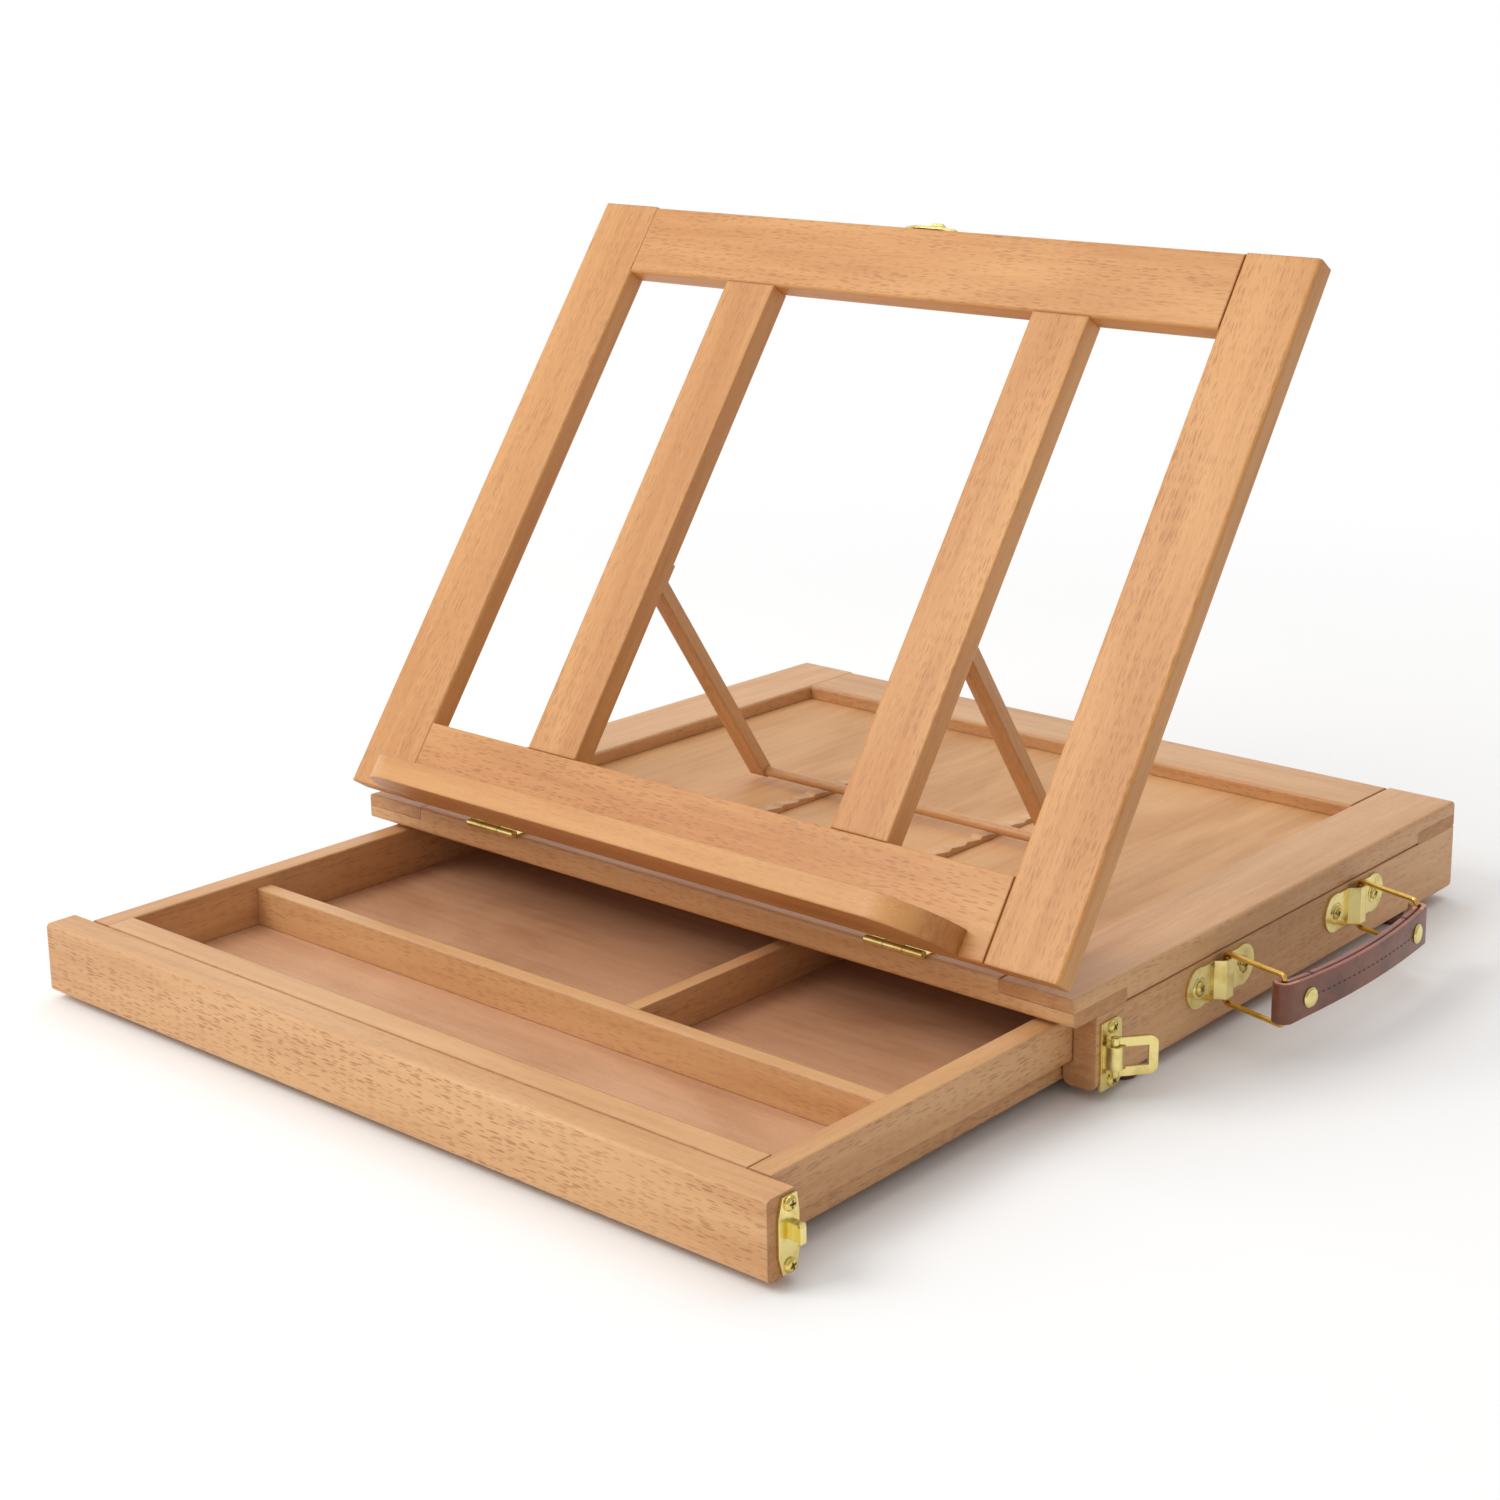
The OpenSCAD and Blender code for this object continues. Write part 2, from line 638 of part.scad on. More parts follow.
module latch_plate_left() color(brass) placed() at_side_latch(true) latch_plate();
module latch_plate_back() color(brass) placed() at_back_latch() latch_plate();
module latch_screws() color(brass) placed() {
    for (left = [false, true]) at_side_latch(left) at_latch_screws() round_screw();
    at_back_latch() at_latch_screws() round_screw();
}
module latch_loop_right() color(brass) placed() at_side_latch() loop_in_place();
module latch_loop_left() color(brass) placed() at_side_latch(true) loop_in_place();
module latch_loop_back() color(brass) placed() at_back_latch() loop_in_place(0);
module drawer_catch_right() color(brass) in_drawer() at_side_latch() catch_plate();
module drawer_catch_left() color(brass) in_drawer() at_side_latch(true) catch_plate();
module drawer_catch_screws() color(brass) in_drawer()
    for (left = [false, true]) at_side_latch(left) at_catch_screws() round_screw();
module panel_catch() color(brass) on_panel() at_panel_latch() catch_plate();
module panel_catch_screws() color(brass) on_panel() at_panel_latch() at_catch_screws() round_screw();

// ---- drawer ----
module drawer_sheet_block()
    block([-drawer_in - groove_d, inner_y - groove_d, sheet_z0],
        [drawer_in + groove_d, drawer_back_y + groove_d, sheet_z1]);
module drawer_side(left)
    mirrored(left)
        difference() {
            bar_y([drawer_in, drawer_front_t, wall_z0], [drawer_half, drawer_len, front_z1], edge_r / 2);
            block([half_w - side_t - lip_w - lip_gap, 0, 0],
                [half_w, drawer_len + past, box_foot + lip_h + lift_gap]);
            drawer_sheet_block();
        }
module drawer_front() color(beech) in_drawer()
    difference() {
        bar_x([-half_w, 0, front_z0], [half_w, drawer_front_t, front_z1]);
        for (left = [false, true]) at_side_latch(left) at_catch_screws() pilot();
    }
module drawer_inner_front() color(beech) in_drawer()
    difference() {
        block([-drawer_in, drawer_front_t, wall_z0], [drawer_in, inner_y, front_z1]);
        drawer_sheet_block();
    }
module drawer_side_left() color(beech) in_drawer() drawer_side(true);
module drawer_side_right() color(beech) in_drawer() drawer_side(false);
module drawer_back() color(beech) in_drawer()
    difference() {
        block([-drawer_in, drawer_back_y, wall_z0], [drawer_in, drawer_len, front_z1]);
        drawer_sheet_block();
    }
module drawer_bottom() color(ply) in_drawer() drawer_sheet_block();
module divider_long() color(pale_beech) in_drawer()
    block([-drawer_in, divider_y, sheet_z1],
        [drawer_in, divider_y + divider_t, front_z1 - divider_drop]);
module divider_cross() color(pale_beech) in_drawer()
    block([divider_x, divider_y + divider_t, sheet_z1],
        [divider_x + divider_t, drawer_back_y, front_z1 - divider_drop]);

// ---- panel ----
module panel_stile(left)
    mirrored(left)
        bar_y([panel_open_x, panel_a0, panel_b0], [half_w, panel_a1, panel_b1]);
module panel_slat(left)
    mirrored(left)
        bar_y([slat_x - slat_w / 2, panel_a0 + panel_rail_w, panel_b0],
            [slat_x + slat_w / 2, panel_a1 - panel_rail_w, panel_b1], edge_r / 2);
module panel_stile_left() color(beech) on_panel() panel_stile(true);
module panel_stile_right() color(beech) on_panel() panel_stile(false);
module panel_top_rail() color(beech) on_panel()
    difference() {
        bar_x([-panel_open_x, panel_a1 - panel_rail_w, panel_b0], [panel_open_x, panel_a1, panel_b1]);
        at_panel_latch() at_catch_screws() pilot();
    }
module panel_bottom_rail() color(beech) on_panel()
    difference() {
        bar_x([-panel_open_x, panel_a0, panel_b0],
            [panel_open_x, panel_a0 + panel_rail_w, panel_b1], edge_r / 2);
        at_panel_leaf_screws() pilot(screw_len + leaf_t);
        at_ledge_screws() flat_cone();
        at_ledge_screws() pilot(ledge_screw_len);
    }
module panel_slat_left() color(beech) on_panel() panel_slat(true);
module panel_slat_right() color(beech) on_panel() panel_slat(false);
module ledge_shape() {
    x0 = ledge_inset_left - half_w + ledge_depth;
    x1 = half_w - ledge_inset_right - ledge_depth;
    translate([x0, 0]) square([x1 - x0, ledge_depth]);
    intersection() {
        for (x = [x0, x1]) translate([x, 0]) circle(ledge_depth);
        translate([-half_w, 0]) square([easel_w, ledge_depth]);
    }
}
module ledge() color(pale_beech) on_panel()
    difference() {
        translate([0, panel_a0 + ledge_t, panel_b1]) rotate([90, 0, 0])
            linear_extrude(ledge_t) ledge_shape();
        at_ledge_screws() blind(ledge_screw_len);
    }
module ledge_screws() color(brass) on_panel() at_ledge_screws() flat_screw(ledge_screw_len - leaf_t);

// ---- handle ----
module hump_shape(inset) {
    lean = atan((hump_w - hump_crest) / 2 / hump_out);
    foot = hump_w / 2 - inset / cos(lean);
    top = foot - (hump_out - inset) * tan(lean);
    polygon([[-inset, -foot], [0, -foot], [hump_out - inset, -top],
        [hump_out - inset, top], [0, foot], [-inset, foot]]);
}
module bracket()
    difference() {
        union() {
            rotate([90, 0, 90]) linear_extrude(plate_t) {
                for (y = [-bracket_screws / 2, bracket_screws / 2]) translate([y, 0]) circle(lobe_r);
                square([bracket_screws, plate_waist], center = true);
            }
            translate([0, 0, -hump_h / 2]) linear_extrude(hump_h) hump_shape(0);
        }
        translate([0, 0, -hump_h]) linear_extrude(2 * hump_h) hump_shape(hump_t);
        for (y = [-bracket_screws / 2, bracket_screws / 2])
            translate([0, y, 0]) rotate([0, 90, 0]) pilot();
    }
module wire_corner()
    rotate([90, 0, 0]) rotate_extrude(angle = 90) translate([wire_bend, 0]) circle(wire_r);
module wire_link() {
    up = link_h / 2;
    for (x = [0, link_reach])
        translate([x, 0, wire_bend - up]) cylinder(h = link_h - 2 * wire_bend, r = wire_r);
    for (z = [-up, up])
        translate([wire_bend, 0, z]) rotate([0, 90, 0])
            cylinder(h = link_reach - 2 * wire_bend, r = wire_r);
    for (flip = [0, 1])
        mirror([0, 0, flip]) {
            translate([link_reach - wire_bend, 0, up - wire_bend]) wire_corner();
            translate([wire_bend, 0, up - wire_bend]) mirror([1, 0, 0]) wire_corner();
        }
}
module strap_arc(r0, r1, h)
    translate([-(strap_r - strap_bow) + strap_side, strap_half, -h / 2])
        rotate([0, 0, -strap_turn])
            rotate_extrude(angle = 2 * strap_turn)
                translate([r0, 0]) square([r1 - r0, h]);
module handle_bracket_front() color(brass) placed() at_bracket(false) bracket();
module handle_bracket_back() color(brass) placed() at_bracket(true) bracket();
module handle_screws() color(brass) placed()
    for (back = [false, true]) at_bracket_screws(back) round_screw();
module handle_link_front() color(brass) placed() at_link(false) wire_link();
module handle_link_back() color(brass) placed() at_link(true) wire_link();
module at_rivets()
    for (k = [-1, 1])
        translate([-(strap_r - strap_bow) + strap_side, strap_half, 0])
            rotate([0, 0, k * (strap_turn - asin(rivet_inset / strap_r))])
                translate([strap_r + strap_t / 2, 0, 0]) rotate([0, 90, 0])
                    children();
module handle_strap() color(leather) placed() at_strap()
    difference() {
        union() {
            strap_arc(strap_r - strap_t / 2, strap_r + strap_t / 2, strap_h);
            for (y = [0, handle_span])
                translate([0, y, -strap_h / 2]) cylinder(h = strap_h, r = strap_roll / 2);
        }
        for (y = [0, handle_span])
            translate([0, y, -strap_h]) cylinder(h = 2 * strap_h, r = wire_r + play);
        at_rivets() translate([0, 0, -strap_t - 2 * past])
            cylinder(h = strap_t + 4 * past, r = rivet_shank / 2 + bite);
    }
module handle_rivets() color(brass) placed() at_strap()
    at_rivets() {
        translate([0, 0, -strap_t - rivet_out])
            cylinder(h = strap_t + rivet_out + rivet_rise / 2, r = rivet_shank / 2);
        translate([0, 0, rivet_gap]) round_head(rivet_dia, rivet_rise - rivet_gap);
    }

// ---- what is drawn ----
side_left();
side_right();
back_board();
top_front_rail();
top_back_rail();
top_stile_left();
top_stile_right();
top_sheet();
rack_left();
rack_right();
feet();
hinge_leaf_box_left();
hinge_leaf_box_right();
hinge_pins();
hinge_screws_box();
handle_bracket_front();
handle_bracket_back();
handle_screws();
latch_plate_right();
latch_plate_left();
latch_plate_back();
latch_screws();
drawer_front();
drawer_inner_front();
drawer_side_left();
drawer_side_right();
drawer_back();
drawer_bottom();
divider_long();
divider_cross();
drawer_catch_right();
drawer_catch_left();
drawer_catch_screws();
panel_stile_left();
panel_stile_right();
panel_top_rail();
panel_bottom_rail();
panel_slat_left();
panel_slat_right();
ledge();
ledge_screws();
hinge_leaf_panel_left();
hinge_leaf_panel_right();
hinge_screws_panel();
panel_catch();
panel_catch_screws();
prop_brackets();
prop_leg_left();
prop_leg_right();
prop_foot_bar();
prop_pins();
latch_loop_right();
latch_loop_left();
latch_loop_back();
handle_link_front();
handle_link_back();
handle_strap();
handle_rivets();
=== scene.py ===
"""Looks of the wooden artist easel: beech, plywood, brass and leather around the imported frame."""

import json
import math
import random
from collections import namedtuple

import bmesh
import bpy
from mathutils import Matrix, Vector


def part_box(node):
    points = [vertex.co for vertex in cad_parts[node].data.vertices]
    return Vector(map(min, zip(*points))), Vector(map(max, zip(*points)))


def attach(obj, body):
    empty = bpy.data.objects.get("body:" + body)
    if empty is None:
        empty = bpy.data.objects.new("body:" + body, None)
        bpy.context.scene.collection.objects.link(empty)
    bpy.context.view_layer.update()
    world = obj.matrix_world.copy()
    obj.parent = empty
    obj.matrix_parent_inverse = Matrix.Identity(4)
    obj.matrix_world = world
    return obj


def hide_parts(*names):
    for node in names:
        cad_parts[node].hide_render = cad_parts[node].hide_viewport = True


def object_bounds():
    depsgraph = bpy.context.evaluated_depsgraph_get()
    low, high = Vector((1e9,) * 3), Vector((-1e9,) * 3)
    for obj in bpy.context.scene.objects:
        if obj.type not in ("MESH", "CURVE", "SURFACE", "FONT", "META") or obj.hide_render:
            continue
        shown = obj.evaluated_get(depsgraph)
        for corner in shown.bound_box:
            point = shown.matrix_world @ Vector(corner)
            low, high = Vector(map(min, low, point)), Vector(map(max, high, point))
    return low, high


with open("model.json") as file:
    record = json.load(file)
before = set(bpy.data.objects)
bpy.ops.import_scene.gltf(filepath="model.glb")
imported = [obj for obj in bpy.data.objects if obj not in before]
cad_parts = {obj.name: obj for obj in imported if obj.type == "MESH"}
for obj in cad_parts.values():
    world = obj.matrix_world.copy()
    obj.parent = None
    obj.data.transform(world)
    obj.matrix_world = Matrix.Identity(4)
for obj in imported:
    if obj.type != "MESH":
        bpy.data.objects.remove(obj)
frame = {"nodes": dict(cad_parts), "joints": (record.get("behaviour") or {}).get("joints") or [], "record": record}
NODES = frame["nodes"]
JOINTS = {j["name"]: j for j in frame["joints"]}
MOUNTS = {m["name"]: m for m in frame["record"]["mounts"]}
CAD_LOW, CAD_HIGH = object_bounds()

MM = 0.001
SCENE = bpy.context.scene
X, Y, Z = Vector((1, 0, 0)), Vector((0, 1, 0)), Vector((0, 0, 1))

# ---- directions of the parts that stand aslant ----
PANEL_OUT = Vector(MOUNTS["work_face"]["axis"]).normalized()
PANEL_UP = Vector(MOUNTS["ledge_top"]["axis"]).normalized()


def leg_direction():
    """Along the prop's legs, from their pivot to the foot bar."""
    low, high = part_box("prop_foot_bar")
    along = (low + high) / 2 - Vector(JOINTS["prop_swing"]["pos_m"])
    along.x = 0
    return along.normalized()


LEG_ALONG = leg_direction()


# ---- node helpers ----
class Tree:
    """A short way to write a node tree."""

    def __init__(self, tree):
        self.tree = tree
        self.out = None

    def node(self, kind, **inputs):
        """Adds a node. A name that starts with _ is a setting, any other one is an input."""
        made = self.tree.nodes.new("ShaderNode" + kind)
        for name, value in inputs.items():
            if name.startswith("_"):
                setattr(made, name[1:], value)
        for name, value in inputs.items():
            if not name.startswith("_"):
                self.feed(made, name, value)
        return made

    def feed(self, made, name, value):
        """Links or sets an input, given by its name with _ for spaces, or as i and its number."""
        key = int(name[1:]) if name[0] == "i" and name[1:].isdigit() else name.replace("_", " ")
        socket = made.inputs[key]
        if isinstance(value, bpy.types.NodeSocket):
            self.tree.links.new(value, socket)
        elif isinstance(value, bpy.types.Node):
            self.tree.links.new(value.outputs[0], socket)
        else:
            socket.default_value = value

    def maths(self, operation, *values):
        made = self.node("Math", _operation=operation)
        for k, value in enumerate(values):
            self.feed(made, "i%d" % k, value)
        return made.outputs[0]

    def times(self, a, b):
        return self.maths("MULTIPLY", a, b)

    def total(self, base, *terms):
        """A base plus each term's value times its weight."""
        for value, weight in terms:
            base = self.maths("MULTIPLY_ADD", value, weight, base)
        return base

    def steps(self, value, low, high, to_low=0.0, to_high=1.0):
        """A smooth step from one level to another, between two thresholds."""
        made = self.node("MapRange", _interpolation_type="SMOOTHSTEP", Value=value)
        for key, number in (("From Min", low), ("From Max", high), ("To Min", to_low), ("To Max", to_high)):
            made.inputs[key].default_value = number
        return made.outputs[0]

    def mix(self, share, a, b):
        """A colour between two others; inputs 6 and 7 and output 2 are the node's colours."""
        made = self.node("Mix", _data_type="RGBA")
        self.feed(made, "i0", share)
        self.feed(made, "i6", a)
        self.feed(made, "i7", b)
        return made.outputs[2]

    def stretched(self, vector, scale):
        return self.node("Mapping", Vector=vector, Scale=scale).outputs[0]

    def noise(self, vector, scale, detail=2.0, rough=0.5, warp=0.0):
        made = self.node("TexNoise", Vector=vector, Scale=scale, Detail=detail,
                         Roughness=rough, Distortion=warp)
        return made.outputs[0]

    def bumped(self, shader, height, strength, depth, bevel=None):
        """Feeds a height to the shader's normal, on top of the worn edges."""
        bump = self.node("Bump", Height=height, Strength=strength, Distance=depth)
        if bevel:
            self.feed(bump, "Normal", bevel)
        self.feed(shader, "Normal", bump)


def linear(r, g, b):
    """A colour from sRGB bytes."""
    def one(v):
        v /= 255
        return v / 12.92 if v <= 0.04045 else ((v + 0.055) / 1.055) ** 2.4
    return (one(r), one(g), one(b), 1.0)


def new_material(name):
    """A material with its tree and its shader; the tree's out is the output node."""
    made = bpy.data.materials.new(name)
    made.use_nodes = True
    made.node_tree.nodes.clear()
    tree = Tree(made.node_tree)
    shader = tree.node("BsdfPrincipled")
    tree.out = tree.node("OutputMaterial", Surface=shader)
    return made, tree, shader


# ---- what the textures share ----
TEXTURE_UNITS = 1000.0   # the textures are laid out in millimetres, so scales are cells per millimetre
BEVEL_SAMPLES = 6
QUIET_FACE = 0.35        # share of the flecks on the faces beside a board's broad ones
# how far each seed shifts the wood, so that no two boards are cut alike
BOARD_SHIFT = (137.0, 59.0, 83.0)
SHEET_SHIFT = (91.0, 47.0, 23.0)


def in_millimetres(tree, seed=0, shift=(0.0, 0.0, 0.0), turn=(0.0, 0.0, 0.0)):
    """The place on the part in millimetres, shifted by a seed and turned into a board's own directions."""
    place = tree.node("TexCoord").outputs["Object"]
    own = tree.node("Mapping", Vector=place, Scale=(TEXTURE_UNITS,) * 3,
                    Location=[seed * step for step in shift], Rotation=turn)
    return own.outputs[0]


def board_turn(along, across):
    """The turn that lays the grain along the texture's x."""
    along = Vector(along).normalized()
    across = (Vector(across) - along * along.dot(Vector(across))).normalized()
    return Matrix((along, across, along.cross(across))).to_euler("XYZ")


def face_shares(tree, turn):
    """Where a face is cut across the grain, and how many flecks it shows."""
    normal = tree.node("TexCoord").outputs["Normal"]
    facing = tree.node("Mapping", _vector_type="NORMAL", Vector=normal, Rotation=turn)
    split = tree.node("SeparateXYZ", Vector=facing)
    end = tree.steps(tree.maths("ABSOLUTE", split.outputs[0]), 0.6, 0.85)
    return end, tree.steps(tree.maths("ABSOLUTE", split.outputs[2]), 0.5, 0.8, QUIET_FACE, 1.0)


def worn_and_highlit_edges(tree, radius, rub):
    """Arrises, found by comparing a rounded normal with the flat one, worn unevenly; on brass the same mask also
    carries a painted highlight.
    """
    bevel = tree.node("Bevel", _samples=BEVEL_SAMPLES, Radius=radius)
    match = tree.node("VectorMath", _operation="DOT_PRODUCT")
    tree.feed(match, "i0", bevel)
    tree.feed(match, "i1", tree.node("NewGeometry").outputs["Normal"])
    edge = tree.steps(match.outputs["Value"], 0.80, 0.985, 1.0, 0.0)
    return bevel, tree.times(edge, tree.steps(rub, 0.35, 0.7, 0.25, 1.0))


# ---- beech ----
# scales of the grain's layers, along it and across it
BROAD_BANDS = (0.005, 0.035, 0.035)
MIDDLE_BANDS = (0.012, 0.22, 0.22)
FIBRES = (0.05, 1.7, 1.7)
FINE_FIBRES = (0.2, 5.0, 5.0)
END_RINGS = (0.05, 0.5, 0.14)
FLECK_BEND = (0.02, 0.06, 0.06)
FLECK_SWAY = (0.0, 3.0, 3.0)      # how far a fleck bends sideways, in millimetres
FLECK_CROWDS = (0.012, 0.08, 0.08)
# a layer of flecks: cells per millimetre along and across the grain, share kept, shift
FLECK_LAYERS = ((0.14, 1.05, 0.28, 0.0), (0.22, 1.6, 0.30, 31.0))


def ray_flecks(tree, own):
    """Short dark dashes along the grain: stretched cells, of which most stay empty."""
    bend = tree.node("VectorMath", _operation="MULTIPLY_ADD")
    tree.feed(bend, "i0", tree.noise(tree.stretched(own, FLECK_BEND), 1.0, 1.0))
    tree.feed(bend, "i1", FLECK_SWAY)
    tree.feed(bend, "i2", own)
    flecks = 0.0
    for length, width, kept, shift in FLECK_LAYERS:
        moved = tree.node("Mapping", Vector=bend, Scale=(length, width, width), Location=(shift,) * 3)
        cells = tree.node("TexVoronoi", Vector=moved, Scale=1.0, Randomness=1.0)
        near = tree.steps(cells.outputs["Distance"], 0.20, 0.44, 1.0, 0.0)
        pick = tree.node("SeparateColor", Color=cells.outputs["Color"])
        chosen = tree.steps(pick.outputs[0], kept, kept + 0.3)
        flecks = tree.maths("MAXIMUM", flecks, tree.times(near, chosen))
    crowd = tree.noise(tree.stretched(own, FLECK_CROWDS), 1.0, 2.0)
    return tree.times(flecks, tree.steps(crowd, 0.36, 0.60, 0.50, 1.0))


def beech(name, along, across, light, dark, seed, flecked):
    """Steamed beech: wavering tone, fine fibres, ray flecks, darker end grain, paler worn arrises."""
    made, tree, shader = new_material(name)
    turn = board_turn(along, across)
    own = in_millimetres(tree, seed, BOARD_SHIFT, turn)
    end, fleck_share = face_shares(tree, turn)

    broad = tree.noise(tree.stretched(own, BROAD_BANDS), 1.0, 3.0, 0.55, 0.5)
    middle = tree.noise(tree.stretched(own, MIDDLE_BANDS), 1.0, 3.0, 0.55, 0.6)
    fibre = tree.noise(tree.stretched(own, FIBRES), 1.0, 3.0, 0.6)
    fine = tree.noise(tree.stretched(own, FINE_FIBRES), 1.0, 2.0, 0.6)
    tone = tree.total(0.0, (broad, 0.55), (middle, 0.27), (fibre, 0.14), (fine, 0.10))
    colour = tree.mix(tree.steps(tone, 0.38, 0.70), light, dark)

    flecks = tree.times(ray_flecks(tree, own), tree.maths("SUBTRACT", 1.0, end))
    flecks = tree.times(flecks, fleck_share)
    colour = tree.mix(tree.times(flecks, flecked), colour, FLECK)

    pores = tree.noise(own, 2.2, 3.0, 0.7)
    rings = tree.noise(tree.stretched(own, END_RINGS), 1.0, 2.0, 0.5, 1.0)
    end_tone = tree.total(0.0, (pores, 0.6), (rings, 0.4))
    end_colour = tree.mix(tree.steps(end_tone, 0.35, 0.65), dark, FLECK)
    colour = tree.mix(tree.times(end, 0.6), colour, end_colour)

    bevel, wear_and_highlight = worn_and_highlit_edges(tree, 1.1 * MM, tree.noise(own, 0.12, 2.0))
    colour = tree.mix(tree.times(wear_and_highlight, 0.30), colour, RUBBED)
    tree.feed(shader, "Base_Color", colour)
    tree.feed(shader, "Roughness", tree.total(0.34, (fibre, 0.16), (end, 0.15)))
    tree.feed(shader, "Specular_IOR_Level", 0.5)
    height = tree.total(0.0, (fine, 0.5), (fibre, 0.4), (flecks, -0.5), (tree.times(pores, end), -0.6))
    tree.bumped(shader, height, 0.22, 0.25 * MM, bevel)
    return made


# ---- thin sheets of wood ----
SHEET_CLOUDS = (0.009, 0.02, 0.02)
SHEET_STREAKS = (0.015, 0.3, 0.3)
SHEET_PORES = (0.3, 3.0, 3.0)


def sheet_wood(name, along, across, light, dark, seed):
    """A thin sheet of wood: cloudy, with a few paler patches, faint streaks and fine pores."""
    made, tree, shader = new_material(name)
    own = in_millimetres(tree, seed, SHEET_SHIFT, board_turn(along, across))
    cloud = tree.noise(tree.stretched(own, SHEET_CLOUDS), 1.0, 3.0, 0.5, 1.2)
    streak = tree.noise(tree.stretched(own, SHEET_STREAKS), 1.0, 4.0, 0.6)
    pores = tree.noise(tree.stretched(own, SHEET_PORES), 1.0, 2.0, 0.7)
    tone = tree.total(0.0, (cloud, 0.62), (streak, 0.24), (pores, 0.16))
    colour = tree.mix(tree.steps(tone, 0.36, 0.70), light, dark)
    colour = tree.mix(tree.steps(pores, 0.62, 0.76, 0.0, 0.4), colour, FLECK)
    bevel, wear_and_highlight = worn_and_highlit_edges(tree, 0.6 * MM, cloud)
    colour = tree.mix(tree.times(wear_and_highlight, 0.2), colour, RUBBED)
    tree.feed(shader, "Base_Color", colour)
    tree.feed(shader, "Roughness", tree.total(0.45, (streak, 0.2)))
    tree.feed(shader, "Specular_IOR_Level", 0.35)
    tree.bumped(shader, tree.maths("ADD", streak, pores), 0.12, 0.2 * MM, bevel)
    return made


# ---- metal, leather, feet ----
BRUSHING = (0.5, 0.5, 7.0)
HIDE_FIBRES = (1.0, 1.0, 0.5)


def brass(name, tint, shade, rough):
    """Plated brass: smooth and bright, with faint brushing and fingerprints; its rubbed edges are lightened,
    partly as wear and partly as a painted highlight, and its darker clouds are partly tone and partly a painted
    dark reflection.
    """
    made, tree, shader = new_material(name)
    own = in_millimetres(tree)
    cloud = tree.noise(own, 0.16, 3.0, 0.55)
    brushed = tree.noise(tree.stretched(own, BRUSHING), 1.0, 2.0, 0.6)
    specks = tree.noise(own, 2.6, 2.0, 0.6)
    # clouds of the darker shade colour: partly tone, partly a painted dark reflection
    colour = tree.mix(tree.steps(cloud, 0.40, 0.72, 0.0, 0.7), tint, shade)
    colour = tree.mix(tree.steps(specks, 0.70, 0.80, 0.0, 0.5), colour, TARNISH)
    bevel, wear_and_highlight = worn_and_highlit_edges(tree, 0.35 * MM, cloud)
    # painted highlight, partly wear: the rubbed edges are lightened towards near-white brass
    colour = tree.mix(tree.times(wear_and_highlight, 0.35), colour, RUBBED_AND_HIGHLIT_BRASS)
    tree.feed(shader, "Base_Color", colour)
    tree.feed(shader, "Metallic", 1.0)
    tree.feed(shader, "Roughness", tree.total(rough, (cloud, 0.12)))
    tree.bumped(shader, brushed, 0.03, 0.05 * MM, bevel)
    return made


def leather(name, base, dark, rough, crease_share, sheen):
    """Smooth bridle leather: fine creased grain, cloudy dye, a waxed surface."""
    made, tree, shader = new_material(name)
    own = in_millimetres(tree)
    cells = tree.node("TexVoronoi", _feature="DISTANCE_TO_EDGE", Vector=own, Scale=1.7)
    crease = tree.steps(cells.outputs["Distance"], 0.0, 0.14, 1.0, 0.0)
    small = tree.noise(own, 3.4, 3.0, 0.6)
    cloud = tree.noise(own, 0.10, 3.0, 0.6)
    tone = tree.total(0.0, (cloud, 0.7), (small, 0.3))
    colour = tree.mix(tree.steps(tone, 0.35, 0.7), base, dark)
    colour = tree.mix(tree.times(crease, crease_share), colour, dark)
    bevel, wear_and_highlight = worn_and_highlit_edges(tree, 0.5 * MM, cloud)
    colour = tree.mix(tree.times(wear_and_highlight, 0.3), colour, RUBBED_LEATHER)
    tree.feed(shader, "Base_Color", colour)
    tree.feed(shader, "Roughness", tree.total(rough, (small, 0.2)))
    tree.feed(shader, "Specular_IOR_Level", 0.5)
    tree.feed(shader, "Coat_Weight", sheen)
    tree.feed(shader, "Coat_Roughness", 0.32)
    tree.bumped(shader, tree.total(0.0, (small, 0.4), (crease, -0.6)), 0.2, 0.12 * MM, bevel)
    return made


def cut_leather(name, base, dark):
    """The raw cut edge of leather: pale, fibrous and dull."""
    made, tree, shader = new_material(name)
    own = in_millimetres(tree)
    fibres = tree.noise(tree.stretched(own, HIDE_FIBRES), 2.4, 4.0, 0.75)
    cloud = tree.noise(own, 0.3, 2.0, 0.5)
    tone = tree.total(0.0, (fibres, 0.7), (cloud, 0.3))
    tree.feed(shader, "Base_Color", tree.mix(tree.steps(tone, 0.35, 0.68), base, dark))
    tree.feed(shader, "Roughness", tree.total(0.6, (fibres, 0.25)))
    tree.bumped(shader, fibres, 0.35, 0.15 * MM)
    return made


def thread(name, tint, shade):
    """Waxed thread: twisted strands along the seam."""
    made, tree, shader = new_material(name)
    wave = tree.node("TexWave", _bands_direction="DIAGONAL", Vector=in_millimetres(tree),
                     Scale=0.9, Distortion=1.0, Detail=1.0)
    strands = wave.outputs["Fac"]
    tree.feed(shader, "Base_Color", tree.mix(strands, tint, shade))
    tree.feed(shader, "Roughness", tree.total(0.5, (strands, 0.1)))
    tree.bumped(shader, strands, 0.3, 0.1 * MM)
    return made


